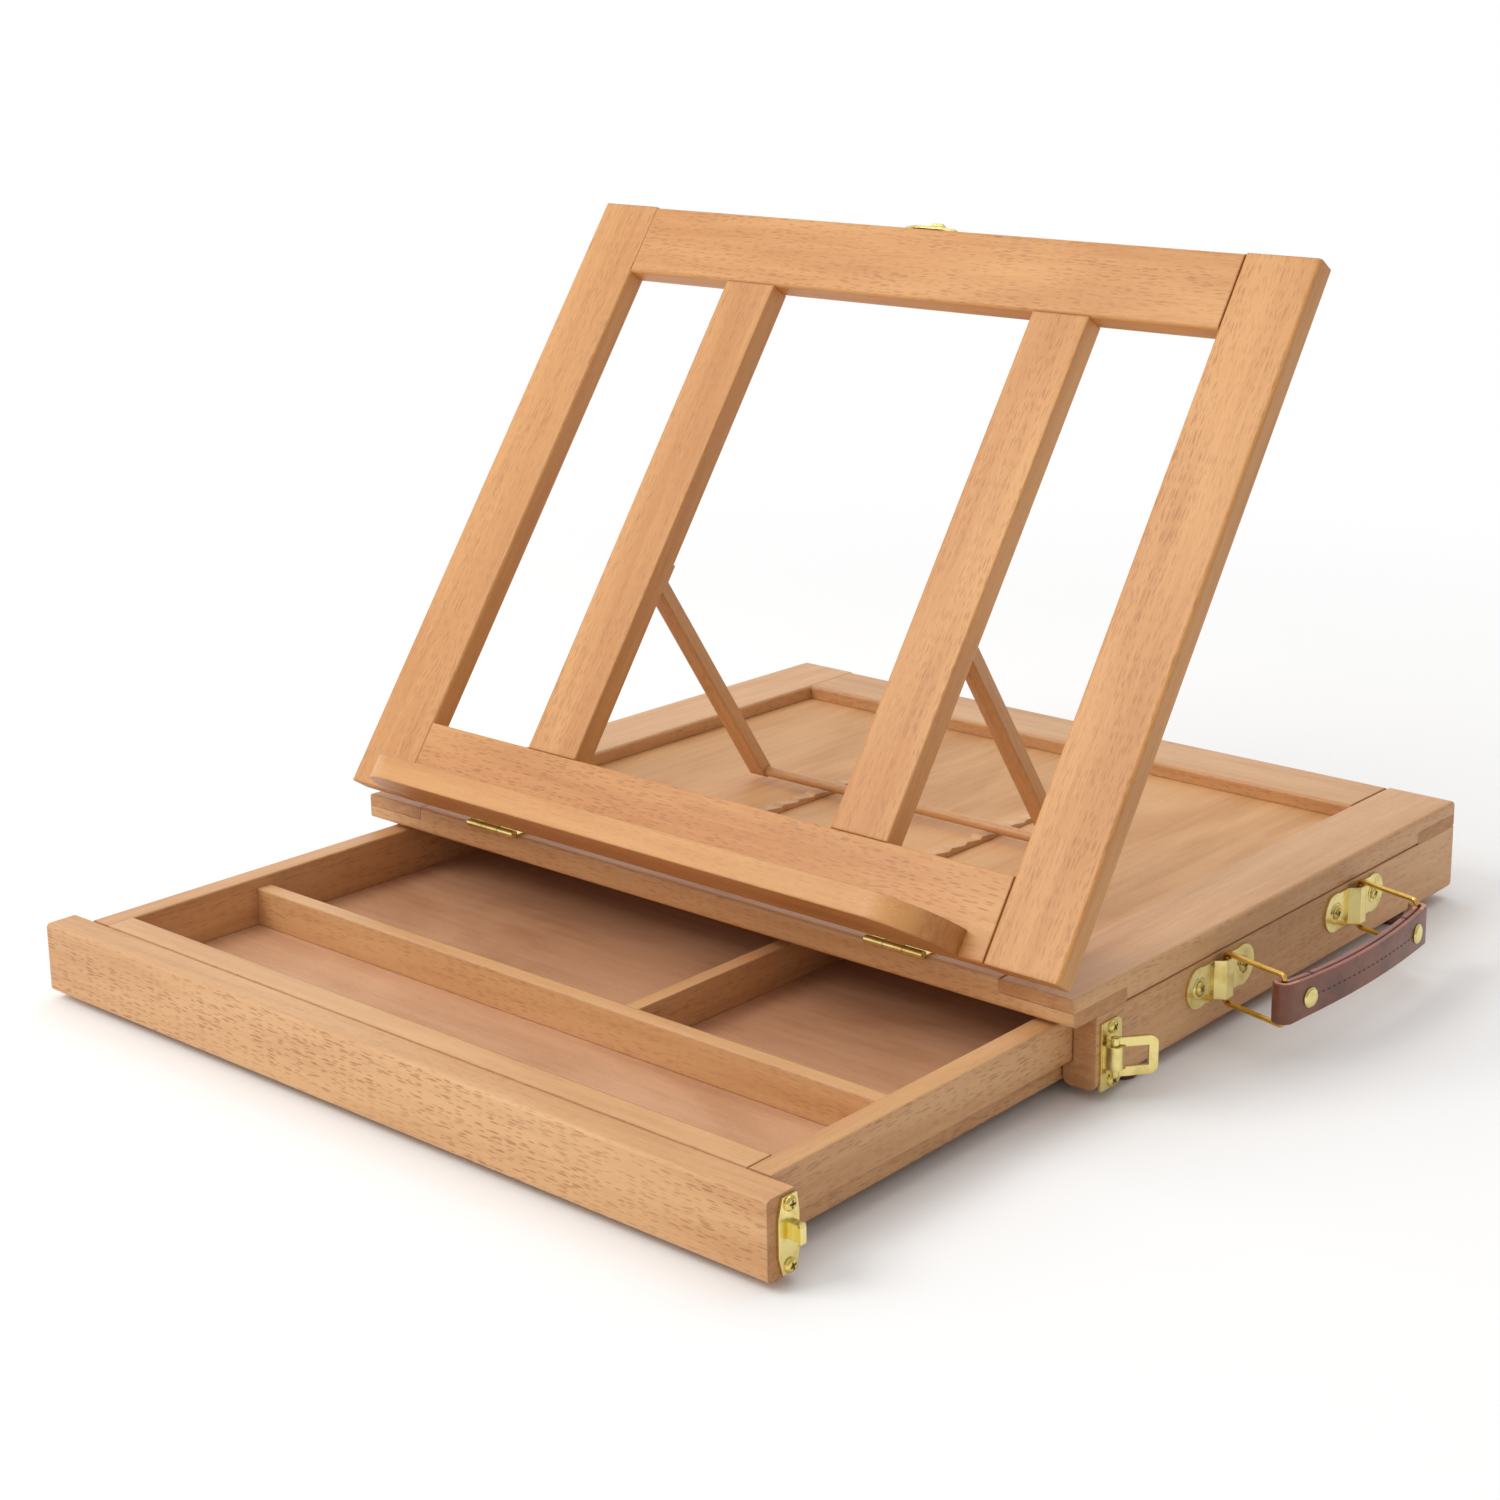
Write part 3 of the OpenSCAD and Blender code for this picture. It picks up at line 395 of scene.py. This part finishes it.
def foot_plastic(name, tint, shade, scuffed):
    """Moulded brown plastic with a fine texture and pale scuffs on its rim."""
    made, tree, shader = new_material(name)
    own = in_millimetres(tree)
    grain = tree.noise(own, 2.0, 3.0, 0.6)
    scuff = tree.noise(own, 0.4, 3.0, 0.7)
    bevel, wear_and_highlight = worn_and_highlit_edges(tree, 0.6 * MM, scuff)
    colour = tree.mix(tree.steps(scuff, 0.4, 0.75), tint, shade)
    tree.feed(shader, "Base_Color", tree.mix(tree.times(wear_and_highlight, 0.4), colour, scuffed))
    tree.feed(shader, "Roughness", tree.total(0.4, (grain, 0.25)))
    tree.bumped(shader, grain, 0.2, 0.1 * MM, bevel)
    return made


# ---- colours and materials ----
LIGHT, DARK = linear(215, 168, 118), linear(192, 139, 88)
WARM_LIGHT, WARM_DARK = linear(211, 154, 93), linear(188, 126, 65)
FLECK = linear(146, 82, 38)
RUBBED = linear(232, 196, 152)
TARNISH = linear(126, 100, 48)
# near-white brass for the rubbed edges: partly wear, partly a painted highlight
RUBBED_AND_HIGHLIT_BRASS = (0.95, 0.92, 0.78, 1.0)
RUBBED_LEATHER = linear(150, 92, 66)

# each brass's second colour is its darker shade, whose clouds partly paint dark reflections
BRASS = brass("brass_plate", linear(236, 220, 148), linear(200, 172, 92), 0.12)
BRASS_WIRE = brass("brass_wire", linear(230, 194, 104), linear(204, 160, 72), 0.16)
BRASS_SCREW = brass("brass_screw", linear(226, 204, 124), linear(190, 162, 84), 0.17)
# darker, rougher brass for the screws' cross recesses
DARK_RECESS_BRASS = brass("brass_recess", linear(140, 112, 56), linear(88, 68, 34), 0.42)
LEATHER = leather("leather_face", linear(132, 76, 52), linear(96, 50, 35), 0.27, 0.3, 0.2)
LEATHER_EDGE = leather("leather_edge", linear(152, 76, 46), linear(112, 50, 30), 0.22, 0.1, 0.35)
LEATHER_CUT = cut_leather("leather_cut", linear(214, 168, 146), linear(178, 120, 96))
THREAD = thread("thread_brown", linear(60, 32, 24), linear(34, 18, 14))
FOOT = foot_plastic("plastic_feet", linear(84, 46, 30), linear(112, 68, 46), linear(160, 120, 95))

# ---- the CAD's own pieces ----
# grain direction, direction across it, and tone of each board
BOARDS = {
    "side_left": (Y, Z, "plain"), "side_right": (Y, Z, "plain"), "back_board": (X, Z, "plain"),
    "top_front_rail": (X, Z, "plain"), "top_back_rail": (X, Z, "plain"),
    "top_stile_left": (Y, Z, "plain"), "top_stile_right": (Y, Z, "plain"),
    "rack_left": (Y, Z, "plain"), "rack_right": (Y, Z, "plain"),
    "drawer_front": (X, Z, "plain"), "drawer_inner_front": (X, Z, "plain"),
    "drawer_side_left": (Y, Z, "plain"), "drawer_side_right": (Y, Z, "plain"),
    "drawer_back": (X, Z, "plain"), "divider_long": (X, Z, "plain"), "divider_cross": (Y, Z, "plain"),
    "panel_stile_left": (PANEL_UP, X, "warm"), "panel_stile_right": (PANEL_UP, X, "warm"),
    "panel_top_rail": (X, PANEL_UP, "warm"), "panel_bottom_rail": (X, PANEL_UP, "warm"),
    "panel_slat_left": (PANEL_UP, X, "warm"), "panel_slat_right": (PANEL_UP, X, "warm"),
    "ledge": (X, PANEL_OUT, "warm"), "prop_brackets": (PANEL_UP, X, "plain"),
    "prop_leg_left": (LEG_ALONG, X, "plain"), "prop_leg_right": (LEG_ALONG, X, "plain"),
    "prop_foot_bar": (X, Y, "plain"),
}
TONES = {"plain": (LIGHT, DARK), "warm": (WARM_LIGHT, WARM_DARK)}
# how strongly the flecks show, by tone and on boards of their own
FLECKED = {"plain": 0.36, "warm": 0.44, "drawer_front": 0.62, "drawer_side_right": 0.5}

PLATE_STARTS = ("hinge_", "latch_", "drawer_catch", "panel_catch", "ledge_screws", "prop_pins",
                "handle_bracket", "handle_rivets")
WIRE_START = "handle_link"


def dress(node, material):
    """Gives a CAD node its material."""
    mesh = NODES[node].data
    mesh.materials.clear()
    mesh.materials.append(material)


def dress_wood():
    """Each board gets its own cut of the wood."""
    for seed, (node, (grain, across, tone)) in enumerate(BOARDS.items(), 1):
        flecked = FLECKED.get(node, FLECKED[tone])
        dress(node, beech("beech_" + node, grain, across, *TONES[tone], seed, flecked))
    dress("top_sheet", sheet_wood("sheet_top", Y, -X, linear(214, 166, 116), linear(192, 140, 90), 3))
    dress("drawer_bottom", sheet_wood("sheet_drawer", X, Y, linear(206, 160, 124), linear(182, 132, 96), 7))


def dress_metal():
    for node in NODES:
        if node.startswith(PLATE_STARTS):
            dress(node, BRASS)
        elif node.startswith(WIRE_START):
            dress(node, BRASS_WIRE)


# ---- mesh helpers ----
def add(name, mesh_data, materials, body):
    """Makes an object of a bmesh, riding on a body."""
    mesh = bpy.data.meshes.new(name)
    mesh_data.to_mesh(mesh)
    mesh_data.free()
    for material in materials:
        mesh.materials.append(material)
    made = bpy.data.objects.new(name, mesh)
    SCENE.collection.objects.link(made)
    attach(made, body)
    return made


def ring_faces(mesh, rings, pick=lambda i, k: 0):
    """Joins neighbouring rings of vertices with quads, each with the material that pick gives it."""
    for i, (one, two) in enumerate(zip(rings, rings[1:])):
        count = len(one)
        for k in range(count):
            face = mesh.faces.new((one[k], one[(k + 1) % count], two[(k + 1) % count], two[k]))
            face.smooth = True
            face.material_index = pick(i, k)


def across_axis(axis):
    """Two directions square to an axis and to each other."""
    side = axis.orthogonal().normalized()
    return side, axis.cross(side)


# ---- screws with cross recesses ----
# A profile lists shares of the head's radius and heights as shares of its rise, from the seat up.
# The crown is the head's top above its seat, and the depth is the recess's.
Head = namedtuple("Head", "dia rise crown depth profile")
ROUND_PROFILE = ((1.0, 0.0), (1.0, 0.26), (0.95, 0.48), (0.82, 0.72), (0.62, 0.90))
FLAT_PROFILE = ((1.0, -0.25), (1.0, -0.02), (0.80, 0.0), (0.65, 0.0))
ROUND_HEAD = Head(4.6 * MM, 1.3 * MM, 1.3 * MM, 0.9 * MM, ROUND_PROFILE)
FLAT_HEAD = Head(3.7 * MM, 0.9 * MM, 0.0, 0.6 * MM, FLAT_PROFILE)

RECESS_HALF = 0.30 * MM   # half the width of a cross's arm
RECESS_REACH = 0.56       # share of the head's radius
# shares of the recess's outline and of its depth, down to its floor
RECESS_PROFILE = ((1.0, 0.0), (0.86, 0.7), (0.35, 1.0))
# the pressed rim around a bracket's screw: radius and height in millimetres
RIM_PROFILE = ((3.9, 0.0), (3.7, 0.30), (3.4, 0.42), (3.0, 0.36), (2.7, 0.12), (2.5, 0.05))
HEAD_STEPS = 48
TINY = 1e-9
WELD = 1e-6               # vertices of a CAD node this close are one
# materials of a screw, by their place in its list
SCREW_METAL, RECESS_METAL, RIM_METAL = 0, 1, 2


def recess_radius(angle, reach):
    """Distance from the middle to the outline of a cross, in a direction."""
    c, s = abs(math.cos(angle)) + TINY, abs(math.sin(angle)) + TINY
    return max(min(reach / c, RECESS_HALF / s), min(reach / s, RECESS_HALF / c))


def turned_ring(mesh, middle, axis, radius_at, height, twist=0.0):
    """A ring of vertices around an axis, its radius given by angle."""
    side, other = across_axis(axis)
    made = []
    for k in range(HEAD_STEPS):
        angle = math.tau * (k + 0.5) / HEAD_STEPS
        r = radius_at(angle)
        flat = side * (r * math.cos(angle + twist)) + other * (r * math.sin(angle + twist))
        made.append(mesh.verts.new(middle + flat + axis * height))
    return made


def screw_head(mesh, seat, axis, head, twist):
    """A screw head with a cross recess, on its seat."""
    radius = head.dia / 2
    reach = radius * RECESS_REACH
    rings = []
    for share, height in head.profile:
        rings.append(turned_ring(mesh, seat, axis, lambda angle: radius * share, head.rise * height, twist))
    outside = len(rings)
    for share, down in RECESS_PROFILE:
        height = head.crown - head.depth * down
        rings.append(turned_ring(mesh, seat, axis, lambda angle: recess_radius(angle, reach) * share,
                                 height, twist))
    ring_faces(mesh, rings, lambda i, k: RECESS_METAL if i >= outside else SCREW_METAL)
    mesh.faces.new(rings[-1]).material_index = RECESS_METAL


def pressed_rim(mesh, middle, axis):
    """The raised rim that a bracket's screw sits in."""
    rings = [turned_ring(mesh, middle, axis, lambda angle: radius * MM, height * MM)
             for radius, height in RIM_PROFILE]
    ring_faces(mesh, rings, lambda i, k: RIM_METAL)


def mean(points):
    return sum(points, Vector()) / len(points)


def span(points, axis):
    """The lowest and the highest place of points along an axis."""
    shares = [p.dot(axis) for p in points]
    return min(shares), max(shares)


def islands(node):
    """The separate solids of a CAD node, each as a list of points, in the order of their places."""
    mesh = bmesh.new()
    mesh.from_mesh(NODES[node].data)
    bmesh.ops.remove_doubles(mesh, verts=mesh.verts, dist=WELD)
    left = set(mesh.verts)
    found = []
    while left:
        todo = [left.pop()]
        group = []
        while todo:
            vert = todo.pop()
            group.append(vert.co.copy())
            for edge in vert.link_edges:
                other = edge.other_vert(vert)
                if other in left:
                    left.remove(other)
                    todo.append(other)
        found.append(group)
    mesh.free()
    return sorted(found, key=lambda group: tuple(round(v, 6) for v in mean(group)))


def screws(node, body, out_of, head, rimmed):
    """Replaces a node of screws by heads with recesses, where the CAD has them."""
    mesh = bmesh.new()
    for points in islands(node):
        axis = out_of(mean(points))
        seat = Vector()
        for direction in across_axis(axis):
            seat += direction * (sum(span(points, direction)) / 2)
        seat += axis * (span(points, axis)[1] - head.crown)
        screw_head(mesh, seat, axis, head, random.uniform(0, math.tau))
        if rimmed:
            pressed_rim(mesh, seat, axis)
    bmesh.ops.recalc_face_normals(mesh, faces=mesh.faces)
    made = add(node + "_heads", mesh, (BRASS_SCREW, DARK_RECESS_BRASS, BRASS), body)
    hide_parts(node)


BACK_LATCH_REACH = 0.1   # screws this near the middle of the box's width belong to its back latch


def side_out(centre):
    return X if centre.x > 0 else -X


def box_latch_out(centre):
    if abs(centre.x - (CAD_LOW.x + CAD_HIGH.x) / 2) < BACK_LATCH_REACH:
        return Y
    return side_out(centre)


# screws' node, its body, the way a screw points, its head, and whether it has a pressed rim
SCREWS = (
    ("handle_screws", "box", lambda centre: X, ROUND_HEAD, True),
    ("latch_screws", "box", box_latch_out, ROUND_HEAD, False),
    ("drawer_catch_screws", "drawer", side_out, ROUND_HEAD, False),
    ("panel_catch_screws", "panel", lambda centre: PANEL_UP, ROUND_HEAD, False),
    ("hinge_screws_box", "box", lambda centre: Z, FLAT_HEAD, False),
    ("hinge_screws_panel", "panel", lambda centre: -PANEL_OUT, FLAT_HEAD, False),
)
SCREW_SEED = 4


def all_screws():
    random.seed(SCREW_SEED)
    for row in SCREWS:
        screws(*row)


# ---- the leather strap ----
LAYER_T = 2.3 * MM        # thickness of one layer of leather
STRAP_T = 5.0 * MM        # both layers and the seam between them
ROLL_DIA = 8.0 * MM       # rolled ends of the strap
ROLL_FROM, ROLL_TO = math.radians(8), math.radians(172)   # around the wire, from the strap's outside
ROLL_STEPS = 12
HEIGHT_SPARE = 0.2 * MM   # the leather is this much lower than its solid
WAIST = 0.88              # height in the middle of the strap, as a share of its ends
WAIST_POWER = 0.7         # under 1, the height falls off quickly at the ends
FOLD_REACH = 13.0 * MM    # how far the outer layer comes back behind the strap
FOLD_START = 0.985        # where the fold meets the inner layer, as a share of the way to the wire
FOLD_GAP = 0.5 * MM       # between the fold's end and the inner layer
CUT_REACH = 2.4 * MM      # how far from the wire the cut edge stays pale
EDGE_ROUND = 0.5 * MM
EDGE_ROUND_LIMIT = 0.45   # share of the strip's thickness
EDGE_STEPS = 3
PATH_STEP = 1.3 * MM
# materials of the strap, by their place in its list
FACE, EDGE, CUT = 0, 1, 2


class Strap:
    """Places on the bowed strap, from the box of its CAD solid."""

    def __init__(self):
        low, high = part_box("handle_strap")
        self.front, self.back = low.y + ROLL_DIA / 2, high.y - ROLL_DIA / 2
        self.wire_x = low.x + ROLL_DIA / 2
        self.z = (low.z + high.z) / 2
        self.height = high.z - low.z - HEIGHT_SPARE
        root_x = self.wire_x + (ROLL_DIA - STRAP_T) / 2
        bow = high.x - STRAP_T / 2 - root_x
        self.half = (self.back - self.front) / 2
        self.radius = (self.half * self.half + bow * bow) / (2 * bow)
        self.turn = math.asin(self.half / self.radius)
        self.centre = Vector((root_x - (self.radius - bow), (self.front + self.back) / 2, 0))

    def on_arc(self, angle, offset):
        """A point at an angle from the strap's middle, offset outwards from its middle line."""
        r = self.radius + offset
        return self.centre + Vector((r * math.cos(angle), r * math.sin(angle), 0))

    def arc(self, start, end, offset):
        """Points along the strap from one angle to another."""
        count = max(2, round(abs(end - start) * self.radius / PATH_STEP))
        return [self.on_arc(start + (end - start) * k / count, offset) for k in range(count + 1)]

    def around_wire(self, back):
        """The rolled end: from the strap's outside around the wire to its inside."""
        y, way = (self.back, 1) if back else (self.front, -1)
        middle = Vector((self.wire_x, y, 0))
        r = ROLL_DIA / 2 - LAYER_T / 2
        made = []
        for k in range(1, ROLL_STEPS):
            angle = ROLL_FROM + (ROLL_TO - ROLL_FROM) * k / ROLL_STEPS
            made.append(middle + Vector((r * math.cos(angle), way * r * math.sin(angle), 0)))
        return made

    def height_at(self, point):
        """The strap's height, lowest halfway between its ends."""
        share = max(0.0, 1 - ((point.y - self.centre.y) / self.half) ** 2)
        return self.height * (1 - (1 - WAIST) * share ** WAIST_POWER)


def rounded_section(thick, height):
    """The outline of a strip's section: (out, up) around a rounded rectangle."""
    r = min(EDGE_ROUND, thick * EDGE_ROUND_LIMIT)
    made = []
    for sx, sz, start in ((1, 1, 0), (-1, 1, 90), (-1, -1, 180), (1, -1, 270)):
        for k in range(EDGE_STEPS + 1):
            angle = math.radians(start + 90 * k / EDGE_STEPS)
            made.append((sx * (thick / 2 - r) + r * math.cos(angle),
                         sz * (height / 2 - r) + r * math.sin(angle)))
    return made


def strip(mesh, path, strap, cut_reach=0.0):
    """Sweeps a layer of leather along a path in plan; its top and bottom edges take other materials."""
    rings = []
    for k, point in enumerate(path):
        ahead = path[min(k + 1, len(path) - 1)] - path[max(k - 1, 0)]
        out = Vector((ahead.y, -ahead.x, 0)).normalized()
        section = rounded_section(LAYER_T, strap.height_at(point))
        rings.append([mesh.verts.new(point + out * x + Z * (strap.z + z)) for x, z in section])
    half = len(rings[0]) // 2
    flat = half // 2 - 1

    def material_of(i, k):
        if k % half == half - 1:
            return FACE
        y = path[i].y
        rolled = y < strap.front + cut_reach or y > strap.back - cut_reach
        return CUT if rolled and k % half == flat else EDGE

    ring_faces(mesh, rings, material_of)
    for ring in (rings[0], rings[-1]):
        mesh.faces.new(ring).material_index = EDGE


def strap_body(strap):
    """The outer layer, rolled around both wires and folded back, and the inner layer between the folds."""
    mesh = bmesh.new()
    outer = (STRAP_T - LAYER_T) / 2
    fold_end = strap.turn - FOLD_REACH / strap.radius
    fold_start = strap.turn * FOLD_START
    path = strap.arc(-fold_end, -fold_start, -outer)
    path += reversed(strap.around_wire(False))
    path += strap.arc(-strap.turn, strap.turn, outer)
    path += strap.around_wire(True)
    path += strap.arc(fold_start, fold_end, -outer)
    strip(mesh, path, strap, CUT_REACH)
    inner_end = strap.turn - (FOLD_REACH + FOLD_GAP) / strap.radius
    strip(mesh, strap.arc(-inner_end, inner_end, -outer), strap)
    bmesh.ops.recalc_face_normals(mesh, faces=mesh.faces)
    made = add("strap_leather", mesh, (LEATHER, LEATHER_EDGE, LEATHER_CUT), "strap")
    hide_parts("handle_strap")


# ---- the strap's seam ----
STITCH_PITCH = 3.1 * MM
STITCH_LONG = 2.2 * MM
STITCH_R = 0.36 * MM
STITCH_CLEAR = 13.5 * MM   # from the wire to the first stitch
STITCH_STEPS = 8           # along a stitch, and around it
STITCH_PROUD = 0.45        # how far the middle of a stitch is lifted, as a share of its radius
STITCH_SUNK = 0.75         # how far its ends bend down from there
STITCH_BLUNT = 0.05        # keeps its ends from closing to a point


def stitch(mesh, strap, middle_angle, side):
    """One stitch: a short thread that stands out in its middle and dips into the leather at its ends."""
    half = STITCH_LONG / 2 / strap.radius
    out = Vector((math.cos(middle_angle), math.sin(middle_angle), 0))
    rings = []
    for j in range(STITCH_STEPS + 1):
        t = 2 * j / STITCH_STEPS - 1
        lift = STITCH_R * (STITCH_PROUD - STITCH_SUNK * t ** 4)
        middle = strap.on_arc(middle_angle + half * t, side * (STRAP_T / 2 - STITCH_R + lift))
        r = STITCH_R * math.sqrt(max(STITCH_BLUNT, 1 - t ** 6))
        ring = []
        for n in range(STITCH_STEPS):
            angle = math.tau * n / STITCH_STEPS
            up = Z * (strap.z + r * math.sin(angle))
            ring.append(mesh.verts.new(middle + out * r * math.cos(angle) + up))
        rings.append(ring)
    ring_faces(mesh, rings)
    mesh.faces.new(rings[0])
    mesh.faces.new(rings[-1])


def stitches(strap):
    """A dashed seam along the middle of both faces."""
    mesh = bmesh.new()
    reach = strap.turn - STITCH_CLEAR / strap.radius
    count = int(2 * reach * strap.radius / STITCH_PITCH)
    for side in (1, -1):
        for k in range(count + 1):
            stitch(mesh, strap, -reach + 2 * reach * k / count, side)
    bmesh.ops.recalc_face_normals(mesh, faces=mesh.faces)
    add("strap_stitches", mesh, (THREAD,), "strap")


# ---- floor, light, camera ----
STUDIO_WHITE = 1.0
STUDIO_DIM = 0.50              # how much of the studio's white lights the part from its right
STUDIO_FALL = (-0.3, 0.6)      # where the light falls off, along the world's x
FLOOR_SIZE = 6.0
FLOOR_FADE = (0.35, 0.95)      # distance from the middle where the floor turns to white
PAPER_SHADE, PAPER_LIGHT = (0.90, 0.90, 0.90, 1.0), (0.94, 0.94, 0.935, 1.0)
# place, target, size, power and colour
LAMPS = {
    "key": ((-0.8, -1.2, 1.4), (0, 0, 0.08), 0.9, 15, (1.0, 0.985, 0.96)),
    "top": ((0.0, 0.3, 1.8), (0, 0, 0.05), 1.4, 4, (1, 1, 1)),
}
CAMERA_PLACE = Vector((585.6, -675.21, 348.35)) * MM
CAMERA_RIGHT = Vector((0.79234, 0.61004, 0.00747))
CAMERA_UP = Vector((-0.14994, 0.18285, 0.97164))
CAMERA_SENSOR, CAMERA_LENS = 36.0, 60.815
CAMERA_SHIFT = (-0.1444, -0.0933)


def floor_paper():
    """White paper that runs out into the white of the studio."""
    material, tree, shader = new_material("floor_paper")
    place = tree.node("TexCoord").outputs["Object"]
    tree.feed(shader, "Base_Color", tree.mix(tree.noise(place, 3.0, 3.0, 0.5), PAPER_SHADE, PAPER_LIGHT))
    tree.feed(shader, "Roughness", 0.9)
    tree.feed(shader, "Specular_IOR_Level", 0.1)
    reach = tree.node("VectorMath", _operation="LENGTH", i0=place)
    far = tree.steps(reach.outputs["Value"], *FLOOR_FADE)
    white = tree.node("Emission", Strength=STUDIO_WHITE)
    tree.feed(tree.out, "Surface", tree.node("MixShader", Fac=far, i1=shader, i2=white))
    return material


def floor():
    half = FLOOR_SIZE / 2
    corners = [(-half, -half, 0), (half, -half, 0), (half, half, 0), (-half, half, 0)]
    mesh = bpy.data.meshes.new("floor")
    mesh.from_pydata(corners, [], [(0, 1, 2, 3)])
    mesh.materials.append(floor_paper())
    made = bpy.data.objects.new("floor", mesh)
    SCENE.collection.objects.link(made)


def lamp(name, place, target, size, power, tint):
    data = bpy.data.lights.new(name, "AREA")
    data.shape = "SQUARE"
    data.size = size
    data.energy = power
    data.color = tint
    made = bpy.data.objects.new(name, data)
    SCENE.collection.objects.link(made)
    made.location = place
    made.rotation_mode = "QUATERNION"
    made.rotation_quaternion = (Vector(target) - Vector(place)).to_track_quat("-Z", "Y")


def world_light():
    """A white studio that lights the part less from its right."""
    world = bpy.data.worlds.new("studio")
    SCENE.world = world
    world.use_nodes = True
    tree = Tree(world.node_tree)
    background = world.node_tree.nodes["Background"]
    tree.feed(background, "Color", (1, 1, 1, 1))
    split = tree.node("SeparateXYZ", Vector=tree.node("TexCoord").outputs["Generated"])
    falling = tree.steps(split.outputs[0], *STUDIO_FALL, STUDIO_WHITE, STUDIO_DIM)
    seen = tree.node("LightPath").outputs["Is Camera Ray"]
    tree.feed(background, "Strength", tree.maths("MAXIMUM", falling, tree.times(seen, STUDIO_WHITE)))


def camera():
    data = bpy.data.cameras.new("camera")
    data.sensor_width = CAMERA_SENSOR
    data.lens = CAMERA_LENS
    data.shift_x, data.shift_y = CAMERA_SHIFT
    made = bpy.data.objects.new("camera", data)
    SCENE.collection.objects.link(made)
    right = CAMERA_RIGHT.normalized()
    back = right.cross(CAMERA_UP).normalized()
    up = back.cross(right)
    made.matrix_world = Matrix.Translation(CAMERA_PLACE) @ Matrix((right, up, back)).transposed().to_4x4()
    SCENE.camera = made


# ---- the scene ----
dress_wood()
dress_metal()
dress("feet", FOOT)
all_screws()
STRAP = Strap()
strap_body(STRAP)
stitches(STRAP)
floor()
world_light()
for name, setup in LAMPS.items():
    lamp(name, *setup)
camera()
SCENE.view_settings.view_transform = "Standard"
